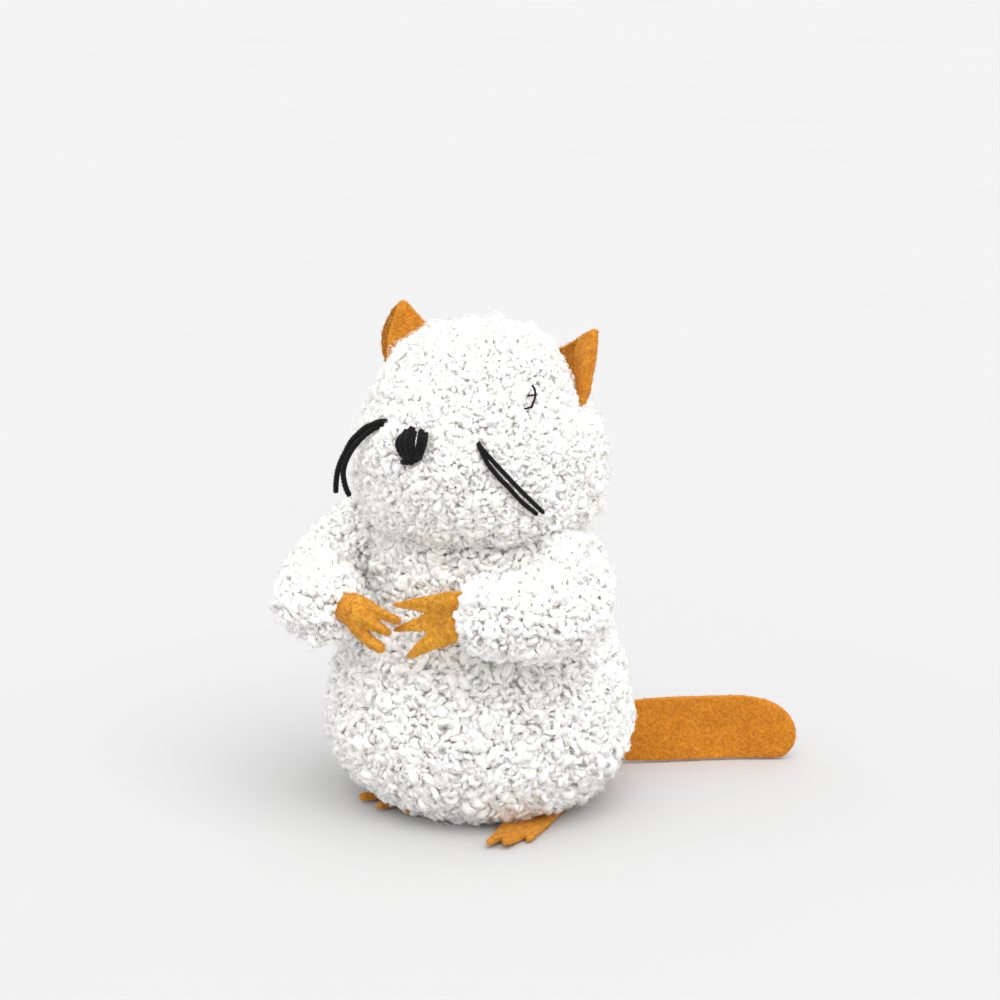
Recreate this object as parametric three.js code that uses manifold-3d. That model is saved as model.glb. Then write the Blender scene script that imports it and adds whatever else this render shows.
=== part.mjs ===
// Plush mouse cat toy with a press-to-chirp sound module in its belly.
//
// Frame: millimetres, +Z up, origin on the resting face of the base panel, under the torso's axis.
// The mouse faces -Y; its own left side is +X.
//
// Outside: curly-pile fabric panels for head, torso and arms, felt ears, paws, feet and tail,
// and black yarn for the nose, eyes and whiskers. Inside: wads of fibre fill round a two-part
// plastic sound module with its button, switch, circuit board, button cells and piezo disc.
import * as THREE from "three";
import { mergeVertices } from "three/addons/utils/BufferGeometryUtils.js";
import Module from "manifold-3d";

// ---------------------------------------------------------------- driving dimensions (mm)
const GAP = 0.35; // clearance between sewn neighbours
const CLOTH = 1.8; // backing plus packed pile of the curly fabric
const TORSO_BOTTOM = 3.2; // underside of the torso cover, above the resting face
const NECK_Z = 74; // plane of the neck seam
const TORSO_DEPTH = 0.93; // front-to-back size of the torso over its width
const HEAD_DEPTH = 0.96;
// Half width of the torso at each height, from the base seam to the neck seam.
const TORSO_CURVE = [
  [24, 3.2], [28, 5], [31.2, 7.6], [34.6, 11.4], [36.8, 17], [37.6, 23.5], [36.8, 29.5],
  [35, 35.5], [32.8, 41], [30.4, 46], [28.5, 51], [27.8, 57], [27.3, 63], [26.8, 69], [26.5, 73.7],
];
// Half width of the head at each height, from the neck seam to the crown.
const HEAD_CURVE = [
  [27.0, 74.3], [29, 77.8], [30.2, 82], [30.4, 86.5], [29.9, 91.2], [28.8, 96], [27.1, 100.8],
  [25, 105.2], [22.4, 109.4], [19.4, 113], [15.6, 116], [10.4, 118.2], [5, 119.2],
];
const CROWN_Z = 119.5;
const MUZZLE = { out: 8, width: 34, z: 96.5, rise: 12.5 }; // bulge (mm), spread (deg), height (mm), spread (mm)
const SIDE_SEAM_Y = 5.5; // plane of the torso's side seams
const FACE_SEAM = { y: 5.5, z: 109, slope: 0.45 }; // the seam that holds the ears
const BASE_PANEL = { rx: 21, ry: 20, y: -1, top: 5.2 };
const FELT = 1.4; // felt of the paws and feet
const EAR_FELT = 1.3;
const TAIL_FELT = 2.0;
const YARN = 1.5; // diameter of the black yarn
const ARM_R = 8.7; // radius of an arm over its cover
const MODULE = { x: 0, y: -6, z: 36, r: 17, front: 8, back: 9, wall: 1.4 };
const BUTTON_R = 7;
const CELL = { r: 5.8, h: 5.4, ring: 7.4 };

// ---------------------------------------------------------------- materials
const mat = (color, roughness, metalness = 0) =>
  new THREE.MeshStandardMaterial({ color, roughness, metalness });
const M = {
  plush: mat(0xf4f2ee, 0.9),
  lining: mat(0xe9e6df, 0.95),
  fill: mat(0xf7f7f5, 1),
  felt: mat(0xd98a1f, 0.95),
  yarn: mat(0x121315, 0.8),
  case: mat(0xe8e8e6, 0.45),
  button: mat(0xd8423c, 0.4),
  board: mat(0x1f6b3a, 0.5),
  black: mat(0x17181a, 0.5),
  steel: mat(0xb9bcc0, 0.3, 1),
  brass: mat(0xc9a24a, 0.35, 1),
  red: mat(0xb3241f, 0.5),
};

// ---------------------------------------------------------------- solids
const wasm = await Module();
wasm.setup();

/** A closed three.js geometry as a solid, whichever way its faces were wound. */
function solid(geometry) {
  const g = geometry.clone();
  for (const name of Object.keys(g.attributes)) if (name !== "position") g.deleteAttribute(name);
  const m = mergeVertices(g, 1e-4);
  const p = m.attributes.position.array;
  const tri = [];
  let v6 = 0;
  for (let i = 0; i < m.index.count; i += 3) {
    const [a, b, c] = [m.index.array[i], m.index.array[i + 1], m.index.array[i + 2]];
    if (a === b || b === c || a === c) continue;
    tri.push(a, b, c);
    const [ax, ay, az] = p.subarray(3 * a, 3 * a + 3);
    const [bx, by, bz] = p.subarray(3 * b, 3 * b + 3);
    const [cx, cy, cz] = p.subarray(3 * c, 3 * c + 3);
    v6 += ax * (by * cz - bz * cy) - ay * (bx * cz - bz * cx) + az * (bx * cy - by * cx);
  }
  if (v6 < 0) for (let i = 0; i < tri.length; i += 3) [tri[i + 1], tri[i + 2]] = [tri[i + 2], tri[i + 1]];
  return new wasm.Manifold(
    new wasm.Mesh({ numProp: 3, vertProperties: new Float32Array(p), triVerts: new Uint32Array(tri) }),
  );
}

/** A solid as a three.js geometry, with slivers from the cutting removed. */
function geometryOf(s) {
  const clean = s.simplify ? s.simplify(0.01) : s;
  const parts = clean.decompose();
  const biggest = parts.reduce((a, b) => (b.volume() > a.volume() ? b : a));
  const m = biggest.getMesh();
  const v = new Float32Array(m.numVert * 3);
  for (let i = 0; i < m.numVert; i++)
    for (let k = 0; k < 3; k++) v[3 * i + k] = m.vertProperties[m.numProp * i + k];
  const g = new THREE.BufferGeometry();
  g.setAttribute("position", new THREE.BufferAttribute(v, 3));
  g.setIndex(new THREE.BufferAttribute(new Uint32Array(m.triVerts), 1));
  g.computeVertexNormals();
  return g;
}

const toy = new THREE.Group();
const torso = new THREE.Group();
const head = new THREE.Group();
toy.add(torso, head);

function piece(name, shape, material, parent = torso) {
  const g = shape.isBufferGeometry ? shape : geometryOf(shape);
  const mesh = new THREE.Mesh(g, material);
  mesh.name = name;
  parent.add(mesh);
  return mesh;
}

// ---------------------------------------------------------------- shape helpers
const V = (x, y, z) => new THREE.Vector3(x, y, z);

/** Moves every vertex of a geometry by a function. */
function warp(geometry, f) {
  const a = geometry.attributes.position;
  for (let i = 0; i < a.count; i++) {
    const q = f(a.getX(i), a.getY(i), a.getZ(i));
    a.setXYZ(i, q.x, q.y, q.z);
  }
  return geometry;
}

/** A curve of [radius, height] points, moved outwards by d. */
function offsetCurve(curve, d) {
  return curve.map(([r, z], i) => {
    const [r0, z0] = curve[Math.max(i - 1, 0)];
    const [r1, z1] = curve[Math.min(i + 1, curve.length - 1)];
    const l = Math.hypot(r1 - r0, z1 - z0);
    return [Math.max(r + (d * (z1 - z0)) / l, 0.4), z - (d * (r1 - r0)) / l];
  });
}

/** Turned shape about Z from [radius, height] points that start and end on the axis. */
function turned(points, segments) {
  const g = new THREE.LatheGeometry(points.map(([r, z]) => new THREE.Vector2(r, z)), segments);
  g.rotateX(Math.PI / 2);
  return g;
}

/** The torso's outside, moved outwards by d. bottom and top may be carried further. */
function torsoSolid(d, bottom, top, segments = 28) {
  const curve = offsetCurve(TORSO_CURVE, d).filter(([, z]) => z > bottom + 0.3 && z < top - 0.3);
  const first = offsetCurve(TORSO_CURVE, d)[0][0];
  const last = TORSO_CURVE.at(-1)[0] + d;
  const g = turned([[0, bottom], [Math.min(first, curve[0][0]), bottom], ...curve, [last, top], [0, top]], segments);
  return solid(warp(g, (x, y, z) => V(x, y * TORSO_DEPTH, z)));
}

/** How far the muzzle stands out at an angle from straight ahead (radians) and a height. */
const muzzle = (phi, z) =>
  MUZZLE.out *
  Math.exp(-((phi / THREE.MathUtils.degToRad(MUZZLE.width)) ** 2)) *
  Math.exp(-(((z - MUZZLE.z) / MUZZLE.rise) ** 2));

/** The head's outside, moved outwards by d. */
function headSolid(d, bottom, segments = 28) {
  const curve = offsetCurve(HEAD_CURVE, d).filter(([, z]) => z > bottom + 0.3);
  const g = turned([[0, bottom], [HEAD_CURVE[0][0] + d, bottom], ...curve, [0, CROWN_Z + d]], segments);
  return solid(
    warp(g, (x, y, z) => {
      const r = Math.hypot(x, y);
      if (r < 1e-6) return V(0, 0, z);
      const phi = Math.atan2(Math.abs(x), -y);
      const grow = (r + muzzle(phi, z) * Math.min(1, r / 20)) / r;
      return V(x * grow, y * grow * HEAD_DEPTH, z);
    }),
  );
}

/** A point on the head's outside: angle from straight ahead (deg, + to the mouse's left), height, distance out. */
function onHead(deg, z, out = 0) {
  const phi = THREE.MathUtils.degToRad(deg);
  let i = HEAD_CURVE.findIndex(([, h]) => h > z);
  if (i < 1) i = 1;
  const [r0, z0] = HEAD_CURVE[i - 1];
  const [r1, z1] = HEAD_CURVE[i];
  const r = r0 + ((r1 - r0) * (z - z0)) / (z1 - z0) + muzzle(Math.abs(phi), z);
  const p = V(r * Math.sin(phi), -r * Math.cos(phi) * HEAD_DEPTH, z);
  const n = V(p.x, p.y, (z - 92) * 0.75).normalize();
  return p.addScaledVector(n, out);
}

/** A block with a corner at a and the opposite one at b. */
function block(a, b) {
  const g = new THREE.BoxGeometry(b.x - a.x, b.y - a.y, b.z - a.z);
  g.translate((a.x + b.x) / 2, (a.y + b.y) / 2, (a.z + b.z) / 2);
  return solid(g);
}

/** A round bar along Z. */
function bar(r, z0, z1, x = 0, y = 0, segments = 24) {
  const g = new THREE.CylinderGeometry(r, r, z1 - z0, segments);
  g.rotateX(Math.PI / 2);
  g.translate(x, y, (z0 + z1) / 2);
  return solid(g);
}

/** A yarn or lead: a tube of diameter d through the points. */
function strand(points, d, steps, sides = 8) {
  const path = new THREE.CatmullRomCurve3(points);
  const ring = new THREE.Shape();
  for (let i = 0; i < sides; i++) {
    const a = (2 * Math.PI * i) / sides;
    const [x, y] = [(d / 2) * Math.cos(a), (d / 2) * Math.sin(a)];
    if (i) ring.lineTo(x, y);
    else ring.moveTo(x, y);
  }
  ring.closePath();
  return solid(new THREE.ExtrudeGeometry(ring, { steps, extrudePath: path, curveSegments: 1, bevelEnabled: false }));
}

/** A felt plate cut to an outline of [u, v] points, lying in the plane of u and v round an origin. */
function plate(outline, thickness, origin, u, v) {
  const shape = new THREE.Shape(outline.map(([a, b]) => new THREE.Vector2(a, b)));
  const g = new THREE.ExtrudeGeometry(shape, { depth: thickness, bevelEnabled: false });
  g.translate(0, 0, -thickness / 2);
  const n = new THREE.Vector3().crossVectors(u, v).normalize();
  const vv = new THREE.Vector3().crossVectors(n, u).normalize();
  g.applyMatrix4(new THREE.Matrix4().makeBasis(u.clone().normalize(), vv, n).setPosition(origin));
  return solid(g);
}

// ---------------------------------------------------------------- paws and feet, felt
// Outlines in the felt's own plane: the first number of each pair runs towards the finger tips.
const PAW = [
  [-4.5, -4.6], [0, -5.8], [8, -6.4], [14.8, -6.3], [15.6, -5.8], [14.9, -5.1], [8, -2.2], [16.6, -0.6],
  [17.5, 0.1], [16.7, 0.8], [9.4, 2], [14.9, 6.4], [15.9, 7], [14.9, 7.6], [7, 6.9], [0, 5.9], [-4.5, 4.8],
];
const FEET = {
  left: {
    at: V(19.5, -4, 0.85), u: V(0.11, -0.994, 0),
    outline: [
      [0, -4.8], [9, -4.6], [20, -3.8], [26, -3.3], [29.4, -2.7], [30, -1.9], [29.2, -1.2], [24.3, -0.1],
      [28.2, 0.9], [29, 1.8], [28, 2.4], [21.2, 3.8], [22.3, 4.7], [22.8, 5.3], [22.3, 5.9], [12, 6.1], [0, 5.8],
    ],
    room: [
      [-0.7, -5.5], [9, -5.4], [24, -4.4], [30.2, -3.4], [30.8, -1.9], [29.9, 2.2], [23.5, 6.5], [12, 6.8], [-0.7, 6.5],
    ],
  },
  right: {
    at: V(-11, 0, 0.85), u: V(-0.24, -0.97, 0),
    outline: [
      [-2, -5], [6, -5.6], [14, -7], [21.3, -8], [21.9, -7.1], [21.2, -6], [15, -2.4], [22.9, -0.3],
      [23.8, 0.6], [23, 1.5], [15.5, 3], [21.2, 7.4], [21.9, 8.4], [21, 9], [13, 7.2], [5, 6], [-2, 5],
    ],
    room: [
      [-2.7, -5.7], [6, -6.3], [14, -7.7], [21.6, -8.9], [22.8, -7.1], [24.6, 0.6], [22.7, 8.6], [21.2, 9.9], [13, 8.1], [5, 6.9], [-2.7, 5.7],
    ],
  },
};
const footSolids = {};
const footSweeps = [];
for (const [side, { at, u, outline, room }] of Object.entries(FEET)) {
  const flat = V(u.x, u.y, 0).normalize();
  const across = new THREE.Vector3().crossVectors(V(0, 0, 1), flat);
  footSolids[side] = plate(outline, FELT, at, flat, across);
  // Room for the toes to lift, cut from the torso's underside.
  const axis = across.clone().negate();
  for (const deg of [0, 5.5, 10.6]) {
    const m = new THREE.Matrix4().makeRotationAxis(axis, THREE.MathUtils.degToRad(deg));
    const up = flat.clone().applyMatrix4(m);
    footSweeps.push(plate(room, FELT + 0.9, at, up, across));
  }
}

// ---------------------------------------------------------------- torso
const torsoOuter = torsoSolid(0, TORSO_BOTTOM, NECK_Z - 0.3);
const torsoRoom = torsoSolid(GAP + 0.1, TORSO_BOTTOM - 1, NECK_Z + 4); // what limbs keep clear of
const torsoInner = torsoSolid(-CLOTH, TORSO_BOTTOM + 4, NECK_Z + 4);

function oval(grow, z0, z1) {
  const g = new THREE.CylinderGeometry(1, 1, z1 - z0, 36);
  g.rotateX(Math.PI / 2);
  return solid(
    warp(g, (x, y, z) =>
      V(x * (BASE_PANEL.rx + grow), y * (BASE_PANEL.ry + grow) + BASE_PANEL.y, z + (z0 + z1) / 2)),
  );
}
const BIG = 90;
let torsoCover = torsoOuter.subtract(torsoInner).subtract(oval(GAP, -1, 8));
for (const s of footSweeps) torsoCover = torsoCover.subtract(s);
piece("torso_cover_front",
  torsoCover.intersect(block(V(-BIG, -BIG, -5), V(BIG, SIDE_SEAM_Y - 0.15, BIG))), M.plush);
piece("torso_cover_back_left",
  torsoCover.intersect(block(V(0.15, SIDE_SEAM_Y + 0.15, -5), V(BIG, BIG, BIG))), M.plush);
piece("torso_cover_back_right",
  torsoCover.intersect(block(V(-BIG, SIDE_SEAM_Y + 0.15, -5), V(-0.15, BIG, BIG))), M.plush);

let base = oval(0, 0, BASE_PANEL.top);
for (const s of footSweeps) base = base.subtract(s);
piece("base_panel", base, M.lining);
piece("foot_left", footSolids.left, M.felt);
piece("foot_right", footSolids.right, M.felt);

// Fibre fill, in two wads with the sound module pressed between them.
const toWorld = new THREE.Matrix4()
  .makeRotationX(Math.PI / 2)
  .setPosition(MODULE.x, MODULE.y, MODULE.z); // the module's own +Z is the way its button faces, -Y
const placed = (s) => s.transform(toWorld.elements);
const pocket = placed(bar(MODULE.r + 0.5, -11, MODULE.front + 0.4, 0, 0, 28).add(bar(BUTTON_R + 0.6, 0, 10.6)));
const fill = torsoSolid(-CLOTH - 0.35, TORSO_BOTTOM + 4.4, NECK_Z - 0.3);
const splitY = MODULE.y;
piece("torso_stuffing_front",
  fill.intersect(block(V(-BIG, -BIG, 0), V(BIG, splitY - 0.15, BIG))).subtract(pocket), M.fill);
piece("torso_stuffing_back",
  fill.intersect(block(V(-BIG, splitY + 0.15, 0), V(BIG, BIG, BIG))).subtract(pocket), M.fill);

// ---------------------------------------------------------------- whisker yarns, through the muzzle
const WHISKERS = {
  upper: {
    inside: [V(9, -21, 97.6), V(0, -18.5, 97.6), V(-9, -21, 97.6)],
    left: [V(16.8, -30, 98), V(22.6, -27.6, 90.6), V(26.5, -25, 86), V(29.5, -22.4, 81.4)],
    right: [V(-14.6, -30, 100), V(-20.4, -30, 95.9), V(-23.8, -28.7, 89.4), V(-24.9, -27.2, 82.4)],
  },
  lower: {
    inside: [V(9, -21, 95.2), V(0, -18.5, 95.2), V(-9, -21, 95.2)],
    left: [V(15.3, -29.7, 96.2), V(20.9, -27.4, 89.3), V(24.6, -25, 84.8), V(27.1, -22.6, 81.8)],
    right: [V(-14.6, -29.8, 97.6), V(-18.6, -28.8, 93.6), V(-20.9, -28, 87.8), V(-20.9, -27, 81.2)],
  },
};
const whiskers = {};
const channels = [];
for (const [name, { inside, left, right }] of Object.entries(WHISKERS)) {
  whiskers[name] = strand([...left.slice().reverse(), ...inside, ...right], YARN, 36);
  channels.push(strand([left[1], left[0], ...inside, right[0], right[1]], YARN + 0.9, 18, 6));
}
piece("whisker_yarn_upper", whiskers.upper, M.yarn, head);
piece("whisker_yarn_lower", whiskers.lower, M.yarn, head);

// ---------------------------------------------------------------- head
const headOuter = headSolid(0, NECK_Z + 0.3);
const headInner = headSolid(-CLOTH, NECK_Z - 4);
const headRoom = headSolid(0.9, NECK_Z - 1);
let headCover = headOuter.subtract(headInner);
let headFill = headSolid(-CLOTH - 0.35, NECK_Z + 0.3);
for (const c of channels) {
  headCover = headCover.subtract(c);
  headFill = headFill.subtract(c);
}
/** Everything in front of the face seam (side -1) or behind it (side 1), less half the seam gap. */
function faceSide(side) {
  const g = new THREE.BoxGeometry(180, 90, 180);
  g.translate(0, side * (45 + 0.15), 0);
  g.applyMatrix4(
    new THREE.Matrix4()
      .makeRotationX(-Math.atan(FACE_SEAM.slope))
      .setPosition(0, FACE_SEAM.y, FACE_SEAM.z),
  );
  return solid(g);
}
piece("head_cover_front", headCover.intersect(faceSide(-1)), M.plush, head);
piece("head_cover_back", headCover.intersect(faceSide(1)), M.plush, head);
piece("head_stuffing", headFill, M.fill, head);

// Nose: satin stitches of yarn that fan up from one point under the nose's tip.
const noseTops = [[-7.2, 99.6], [-4.2, 101.2], [-1, 101.8], [5.6, 101]];
let nose = null;
for (const [deg, z] of noseTops) {
  const foot = onHead(1.6 + deg * 0.12, 92.3, YARN / 2 + 0.45);
  const mid = onHead(deg * 0.75 + 1, 97, YARN / 2 + 0.95);
  const top = onHead(deg, z, YARN / 2 + 0.45);
  const s = strand([foot, mid, top], YARN + 0.5, 6);
  nose = nose ? nose.add(s) : s;
}
piece("nose", nose, M.yarn, head);

// Eyes: one curved closing stitch with two short lashes.
for (const [name, s] of [["eye_left", 1], ["eye_right", -1]]) {
  const arc = [[51, 110.4], [56.5, 109.3], [58.5, 106.9], [55.5, 104.6]];
  let e = strand(arc.map(([d, z]) => onHead(s * d, z, 1.1)), 1.1, 8, 6);
  for (const [d0, z0, d1, z1] of [[57.5, 107.4, 49, 107.2], [55.8, 104.9, 49, 104.1]])
    e = e.add(strand([onHead(s * d0, z0, 1.1), onHead(s * (d0 + d1) / 2, (z0 + z1) / 2, 1.25), onHead(s * d1, z1, 1.1)], 0.9, 3, 6));
  piece(name, e, M.yarn, head);
}

// Ears: a felt leaf folded along its upper edge, its two halves held in the face seam and open outwards.
const EARS = {
  ear_left: { top: V(16.4, 7.9, 113.8), low: V(25.2, 2.4, 101.6), tip: V(26.4, 10.3, 120.6), full: 1.9 },
  ear_right: { top: V(-16.6, 7.9, 114.6), low: V(-25.6, 2.4, 103.6), tip: V(-27.4, 10.3, 123.6), full: 3 },
};
const EAR_FOLD = 1.45; // radius of the fold, at the felt's middle
const EAR_SPREAD = 0.09; // how fast the halves part
for (const [name, { top, low, tip, full }] of Object.entries(EARS)) {
  const e = low.clone().sub(top);
  const width = e.length();
  e.normalize();
  const spine = tip.clone().sub(top);
  const n = new THREE.Vector3().crossVectors(e, spine).normalize();
  if (n.y > 0) n.negate(); // towards the face
  const g = new THREE.BoxGeometry(2, 1, 1, 14, 1, 8);
  warp(g, (x, y, z) => {
    const v = (z + 0.5) * 1.3 - 0.3;
    const up = Math.max(v, 0);
    const leg = (width - EAR_FOLD) * (1 - up ** (x > 0 ? 0.8 * full : full)) * (x > 0 ? 0.96 : 1) + 0.25;
    const turn = (Math.PI / 2) * EAR_FOLD;
    const long = Math.abs(x) * (turn + leg);
    let side, off, ns, no;
    if (long < turn) {
      const t = long / EAR_FOLD;
      [side, off, ns, no] = [EAR_FOLD * (1 - Math.cos(t)), EAR_FOLD * Math.sin(t), -Math.cos(t), Math.sin(t)];
    } else {
      const run = long - turn;
      [side, off, ns, no] = [EAR_FOLD + run, EAR_FOLD + EAR_SPREAD * run, 0, 1];
    }
    const s = Math.sign(x) || 1;
    return top.clone()
      .addScaledVector(spine, v)
      .addScaledVector(e, side + y * EAR_FELT * ns)
      .addScaledVector(n, s * (off + y * EAR_FELT * no));
  });
  piece(name, solid(g).subtract(headRoom), M.felt, head);
}

// ---------------------------------------------------------------- arms
const ARMS = {
  left: {
    path: [V(19, -2, 64), V(28, -8, 63), V(33.2, -19, 58), V(27.5, -31.5, 58.4), V(16.2, -38.6, 60)],
    hand: V(15.2, -38.8, 58.9), u: V(-0.945, 0.1, -0.31), v: V(0.31, 0.03, -0.95), size: 1,
  },
  right: {
    path: [V(-19, -2, 64), V(-30.5, -7.5, 63.4), V(-35.5, -16, 56), V(-29.5, -30, 54.6), V(-17.4, -38, 57)],
    hand: V(-14.6, -40, 56.4), u: V(0.93, -0.2, -0.3), v: V(-0.3, -0.25, -0.92), size: 0.85,
  },
};
// Radius of an arm along its length, from the seam to the rounded cuff, as shares of ARM_R.
const ARM_SHAPE = [[0, 0.86], [0.14, 0.95], [0.3, 1], [0.46, 1.03], [0.62, 1.05], [0.76, 1.04], [0.87, 0.93], [0.94, 0.72], [0.985, 0.36]];
function armSolid(path, d, from, segments) {
  const curve = new THREE.CatmullRomCurve3(path);
  const long = curve.getLength();
  const rows = ARM_SHAPE.map(([s, r]) => [r * ARM_R + d, s * long + (s > 0.6 ? d * 0.9 * (s - 0.6) / 0.4 : 0)]);
  const end = long + d * 0.9;
  const g = turned([[0, from], [rows[0][0], from], ...rows.slice(1), [0, end]], segments);
  return solid(
    warp(g, (x, y, z) => {
      const t = Math.min(Math.max(z / long, 0), 1);
      const p = curve.getPointAt(t);
      const tan = curve.getTangentAt(t);
      const n = new THREE.Vector3().crossVectors(V(0, 0, 1), tan).normalize();
      const b = new THREE.Vector3().crossVectors(tan, n);
      return p.addScaledVector(n, x).addScaledVector(b, y).addScaledVector(tan, z - t * long);
    }),
  );
}
for (const [side, arm] of Object.entries(ARMS)) {
  const group = new THREE.Group();
  toy.add(group);
  const outer = armSolid(arm.path, 0, 0, 16);
  const inner = armSolid(arm.path, -CLOTH + 0.2, -6, 14);
  const cuffRoom = armSolid(arm.path, 0.9, 0, 16);
  piece("arm_cover_" + side, outer.subtract(inner).subtract(torsoRoom), M.plush, group);
  piece("arm_stuffing_" + side, armSolid(arm.path, -CLOTH - 0.2, 0.5, 14).subtract(torsoRoom), M.fill, group);
  piece("hand_" + side, plate(PAW.map(([p, q]) => [p * arm.size, q * arm.size]), FELT, arm.hand, arm.u, arm.v).subtract(cuffRoom), M.felt, group);
}

// ---------------------------------------------------------------- tail: a felt strip on its edge
const TAIL_PATH = [V(3.2, 35.1, 0), V(9.5, 35.8, 0), V(16.5, 37.1, 0), V(23.5, 40.4, 0), V(31.5, 46, 0), V(39.5, 51.6, 0), V(48, 57, 0), V(60.5, 64, 0)];
const TAIL = { z: 9, root: 6.9, half: 8.4, round: 8.6 };
{
  const curve = new THREE.CatmullRomCurve3(TAIL_PATH);
  const long = curve.getLength();
  const g = new THREE.BoxGeometry(1, 1, 2, 22, 1, 2);
  warp(g, (x, y, z) => {
    const e = x + 0.5;
    const s = long * (1 - (1 - e) ** 1.25); // steps close up towards the rounded end
    const body = TAIL.root + (TAIL.half - TAIL.root) * Math.min(1, s / (0.45 * long));
    const past = Math.max(0, (s - (long - TAIL.round)) / TAIL.round);
    const h = Math.max(body * Math.sqrt(Math.max(0, 1 - past * past)), 1.2);
    const t = s / long;
    const p = curve.getPointAt(t);
    const tan = curve.getTangentAt(t);
    return p.addScaledVector(V(-tan.y, tan.x, 0).normalize(), y * TAIL_FELT).setZ(TAIL.z + z * h);
  });
  piece("tail", solid(g), M.felt);
}

// ---------------------------------------------------------------- sound module
const module = new THREE.Group();
module.applyMatrix4(toWorld);
toy.add(module);
const ring = (n, r, from) =>
  [...Array(n)].map((_, i) => {
    const a = THREE.MathUtils.degToRad(from + (360 / n) * i);
    return [r * Math.cos(a), r * Math.sin(a)];
  });
const posts = ring(3, 13.1, 90);
const { r: R, front: F, back: B, wall: W } = MODULE;

let caseFront = bar(R, 0.15, F, 0, 0, 32).subtract(bar(R - W, -1, F - W, 0, 0, 32)).subtract(bar(BUTTON_R + 0.4, 0, F + 1));
for (const [x, y] of posts) caseFront = caseFront.add(bar(2, 2.6, F - W + 0.2, x, y, 12)).subtract(bar(1.1, 2, 6, x, y, 10));
piece("case_front", caseFront, M.case, module);

let caseBack = bar(R, -B, -0.15, 0, 0, 32).subtract(bar(R - W, -B + W, 1, 0, 0, 32));
for (const [x, y] of posts) caseBack = caseBack.add(bar(2.2, -B + W - 0.2, -0.15, x, y, 12)).subtract(bar(1.1, -B - 1, 1, x, y, 10));
for (const [x, y] of [[0, 0], ...ring(6, 4.6, 30)]) caseBack = caseBack.subtract(bar(1, -B - 1, -B + W + 1, x, y, 10));
piece("case_back", caseBack, M.case, module);

let board = bar(R - W - 0.4, 1, 2.2, 0, 0, 28);
for (const [x, y] of posts) board = board.subtract(bar(1.2, 0, 3, x, y, 10));
piece("circuit_board", board, M.board, module);

piece("switch_body", block(V(-3, -3, 2.55), V(3, 3, 5.1)).subtract(bar(1.3, 3.2, 6, 0, 0, 12)), M.black, module);
{
  const dome = new THREE.SphereGeometry(1, 12, 8);
  warp(dome, (x, y, z) => V(8 + x * 3, 6 + y * 3, 2.6 + z * 1.5));
  piece("chip_blob", solid(dome).intersect(block(V(0, 0, 2.55), V(16, 12, 6))), M.black, module);
}
ring(3, CELL.ring, 30).forEach(([x, y], i) =>
  piece("button_cell_" + (i + 1), bar(CELL.r, -5.55, -5.55 + CELL.h, x, y, 20), M.steel, module));

/** A stadium-shaped contact strip from cell i to cell j. */
function strip(i, j, z0, z1) {
  const c = ring(3, CELL.ring, 30);
  const [a, b] = [c[i], c[j]];
  const l = Math.hypot(b[0] - a[0], b[1] - a[1]);
  const shape = new THREE.Shape();
  shape.absarc(0, 0, 2.2, Math.PI / 2, (3 * Math.PI) / 2);
  shape.absarc(l, 0, 2.2, -Math.PI / 2, Math.PI / 2);
  const g = new THREE.ExtrudeGeometry(shape, { depth: z1 - z0, bevelEnabled: false, curveSegments: 5 });
  g.rotateZ(Math.atan2(b[1] - a[1], b[0] - a[0]));
  g.translate(a[0], a[1], z0);
  return solid(g);
}
piece("contact_strip_upper", strip(0, 1, 0.2, 0.65), M.brass, module);
piece("contact_strip_lower", strip(1, 2, -6.3, -5.85), M.brass, module);
let disc = bar(12.2, -7.3, -6.9, 0, 0, 28);
for (const [x, y] of posts) disc = disc.subtract(bar(2.6, -8, -6, x, y, 12));
piece("piezo_disc", disc, M.brass, module);
piece("lead_red", strand([V(0.9, 9.2, 0.65), V(1.1, 9.3, -1.5), V(0.9, 9.1, -4.5), V(1.2, 8.2, -6.5)], 0.9, 6, 6), M.red, module);
piece("lead_black", strand([V(-0.9, 9.2, 0.65), V(-1.1, 9.3, -1.5), V(-0.9, 9.1, -4.5), V(-1.2, 8.2, -6.5)], 0.9, 6, 6), M.black, module);
posts.forEach(([x, y], i) =>
  piece("case_screw_" + (i + 1),
    bar(0.85, -9.6, 4.6, x, y, 10).add(bar(1.9, -10.3, -9.15, x, y, 14)).subtract(block(V(x - 0.25, y - 1.5, -11), V(x + 0.25, y + 1.5, -9.9))),
    M.steel, module));

// The button: a domed cap with a flange under the case, over the switch's plunger. They move as one.
const button = new THREE.Group();
module.add(button);
const cap = turned(
  [[0, 10], [3.5, 9.8], [6, 9.1], [BUTTON_R, 8.2], [BUTTON_R, 6.3], [8.7, 6.3], [8.7, 5.2], [5.6, 5.2], [5.6, 7.6], [1.6, 7.8], [1.6, 6.35], [0, 6.35]],
  24,
);
piece("button_cap", solid(cap), M.button, button);
piece("switch_plunger", bar(0.95, 4.5, 6.05, 0, 0, 12), M.steel, button);

export default toy;
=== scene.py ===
"""Looks of the plush mouse cat toy: curly white pile, needle felt, black yarn, and the sound module inside.
Lengths in this script are millimetres until a mesh is made; Blender gets metres."""

import math

import bmesh
import bpy
import numpy as np
from mathutils.kdtree import KDTree
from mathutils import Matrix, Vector, noise


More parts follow.
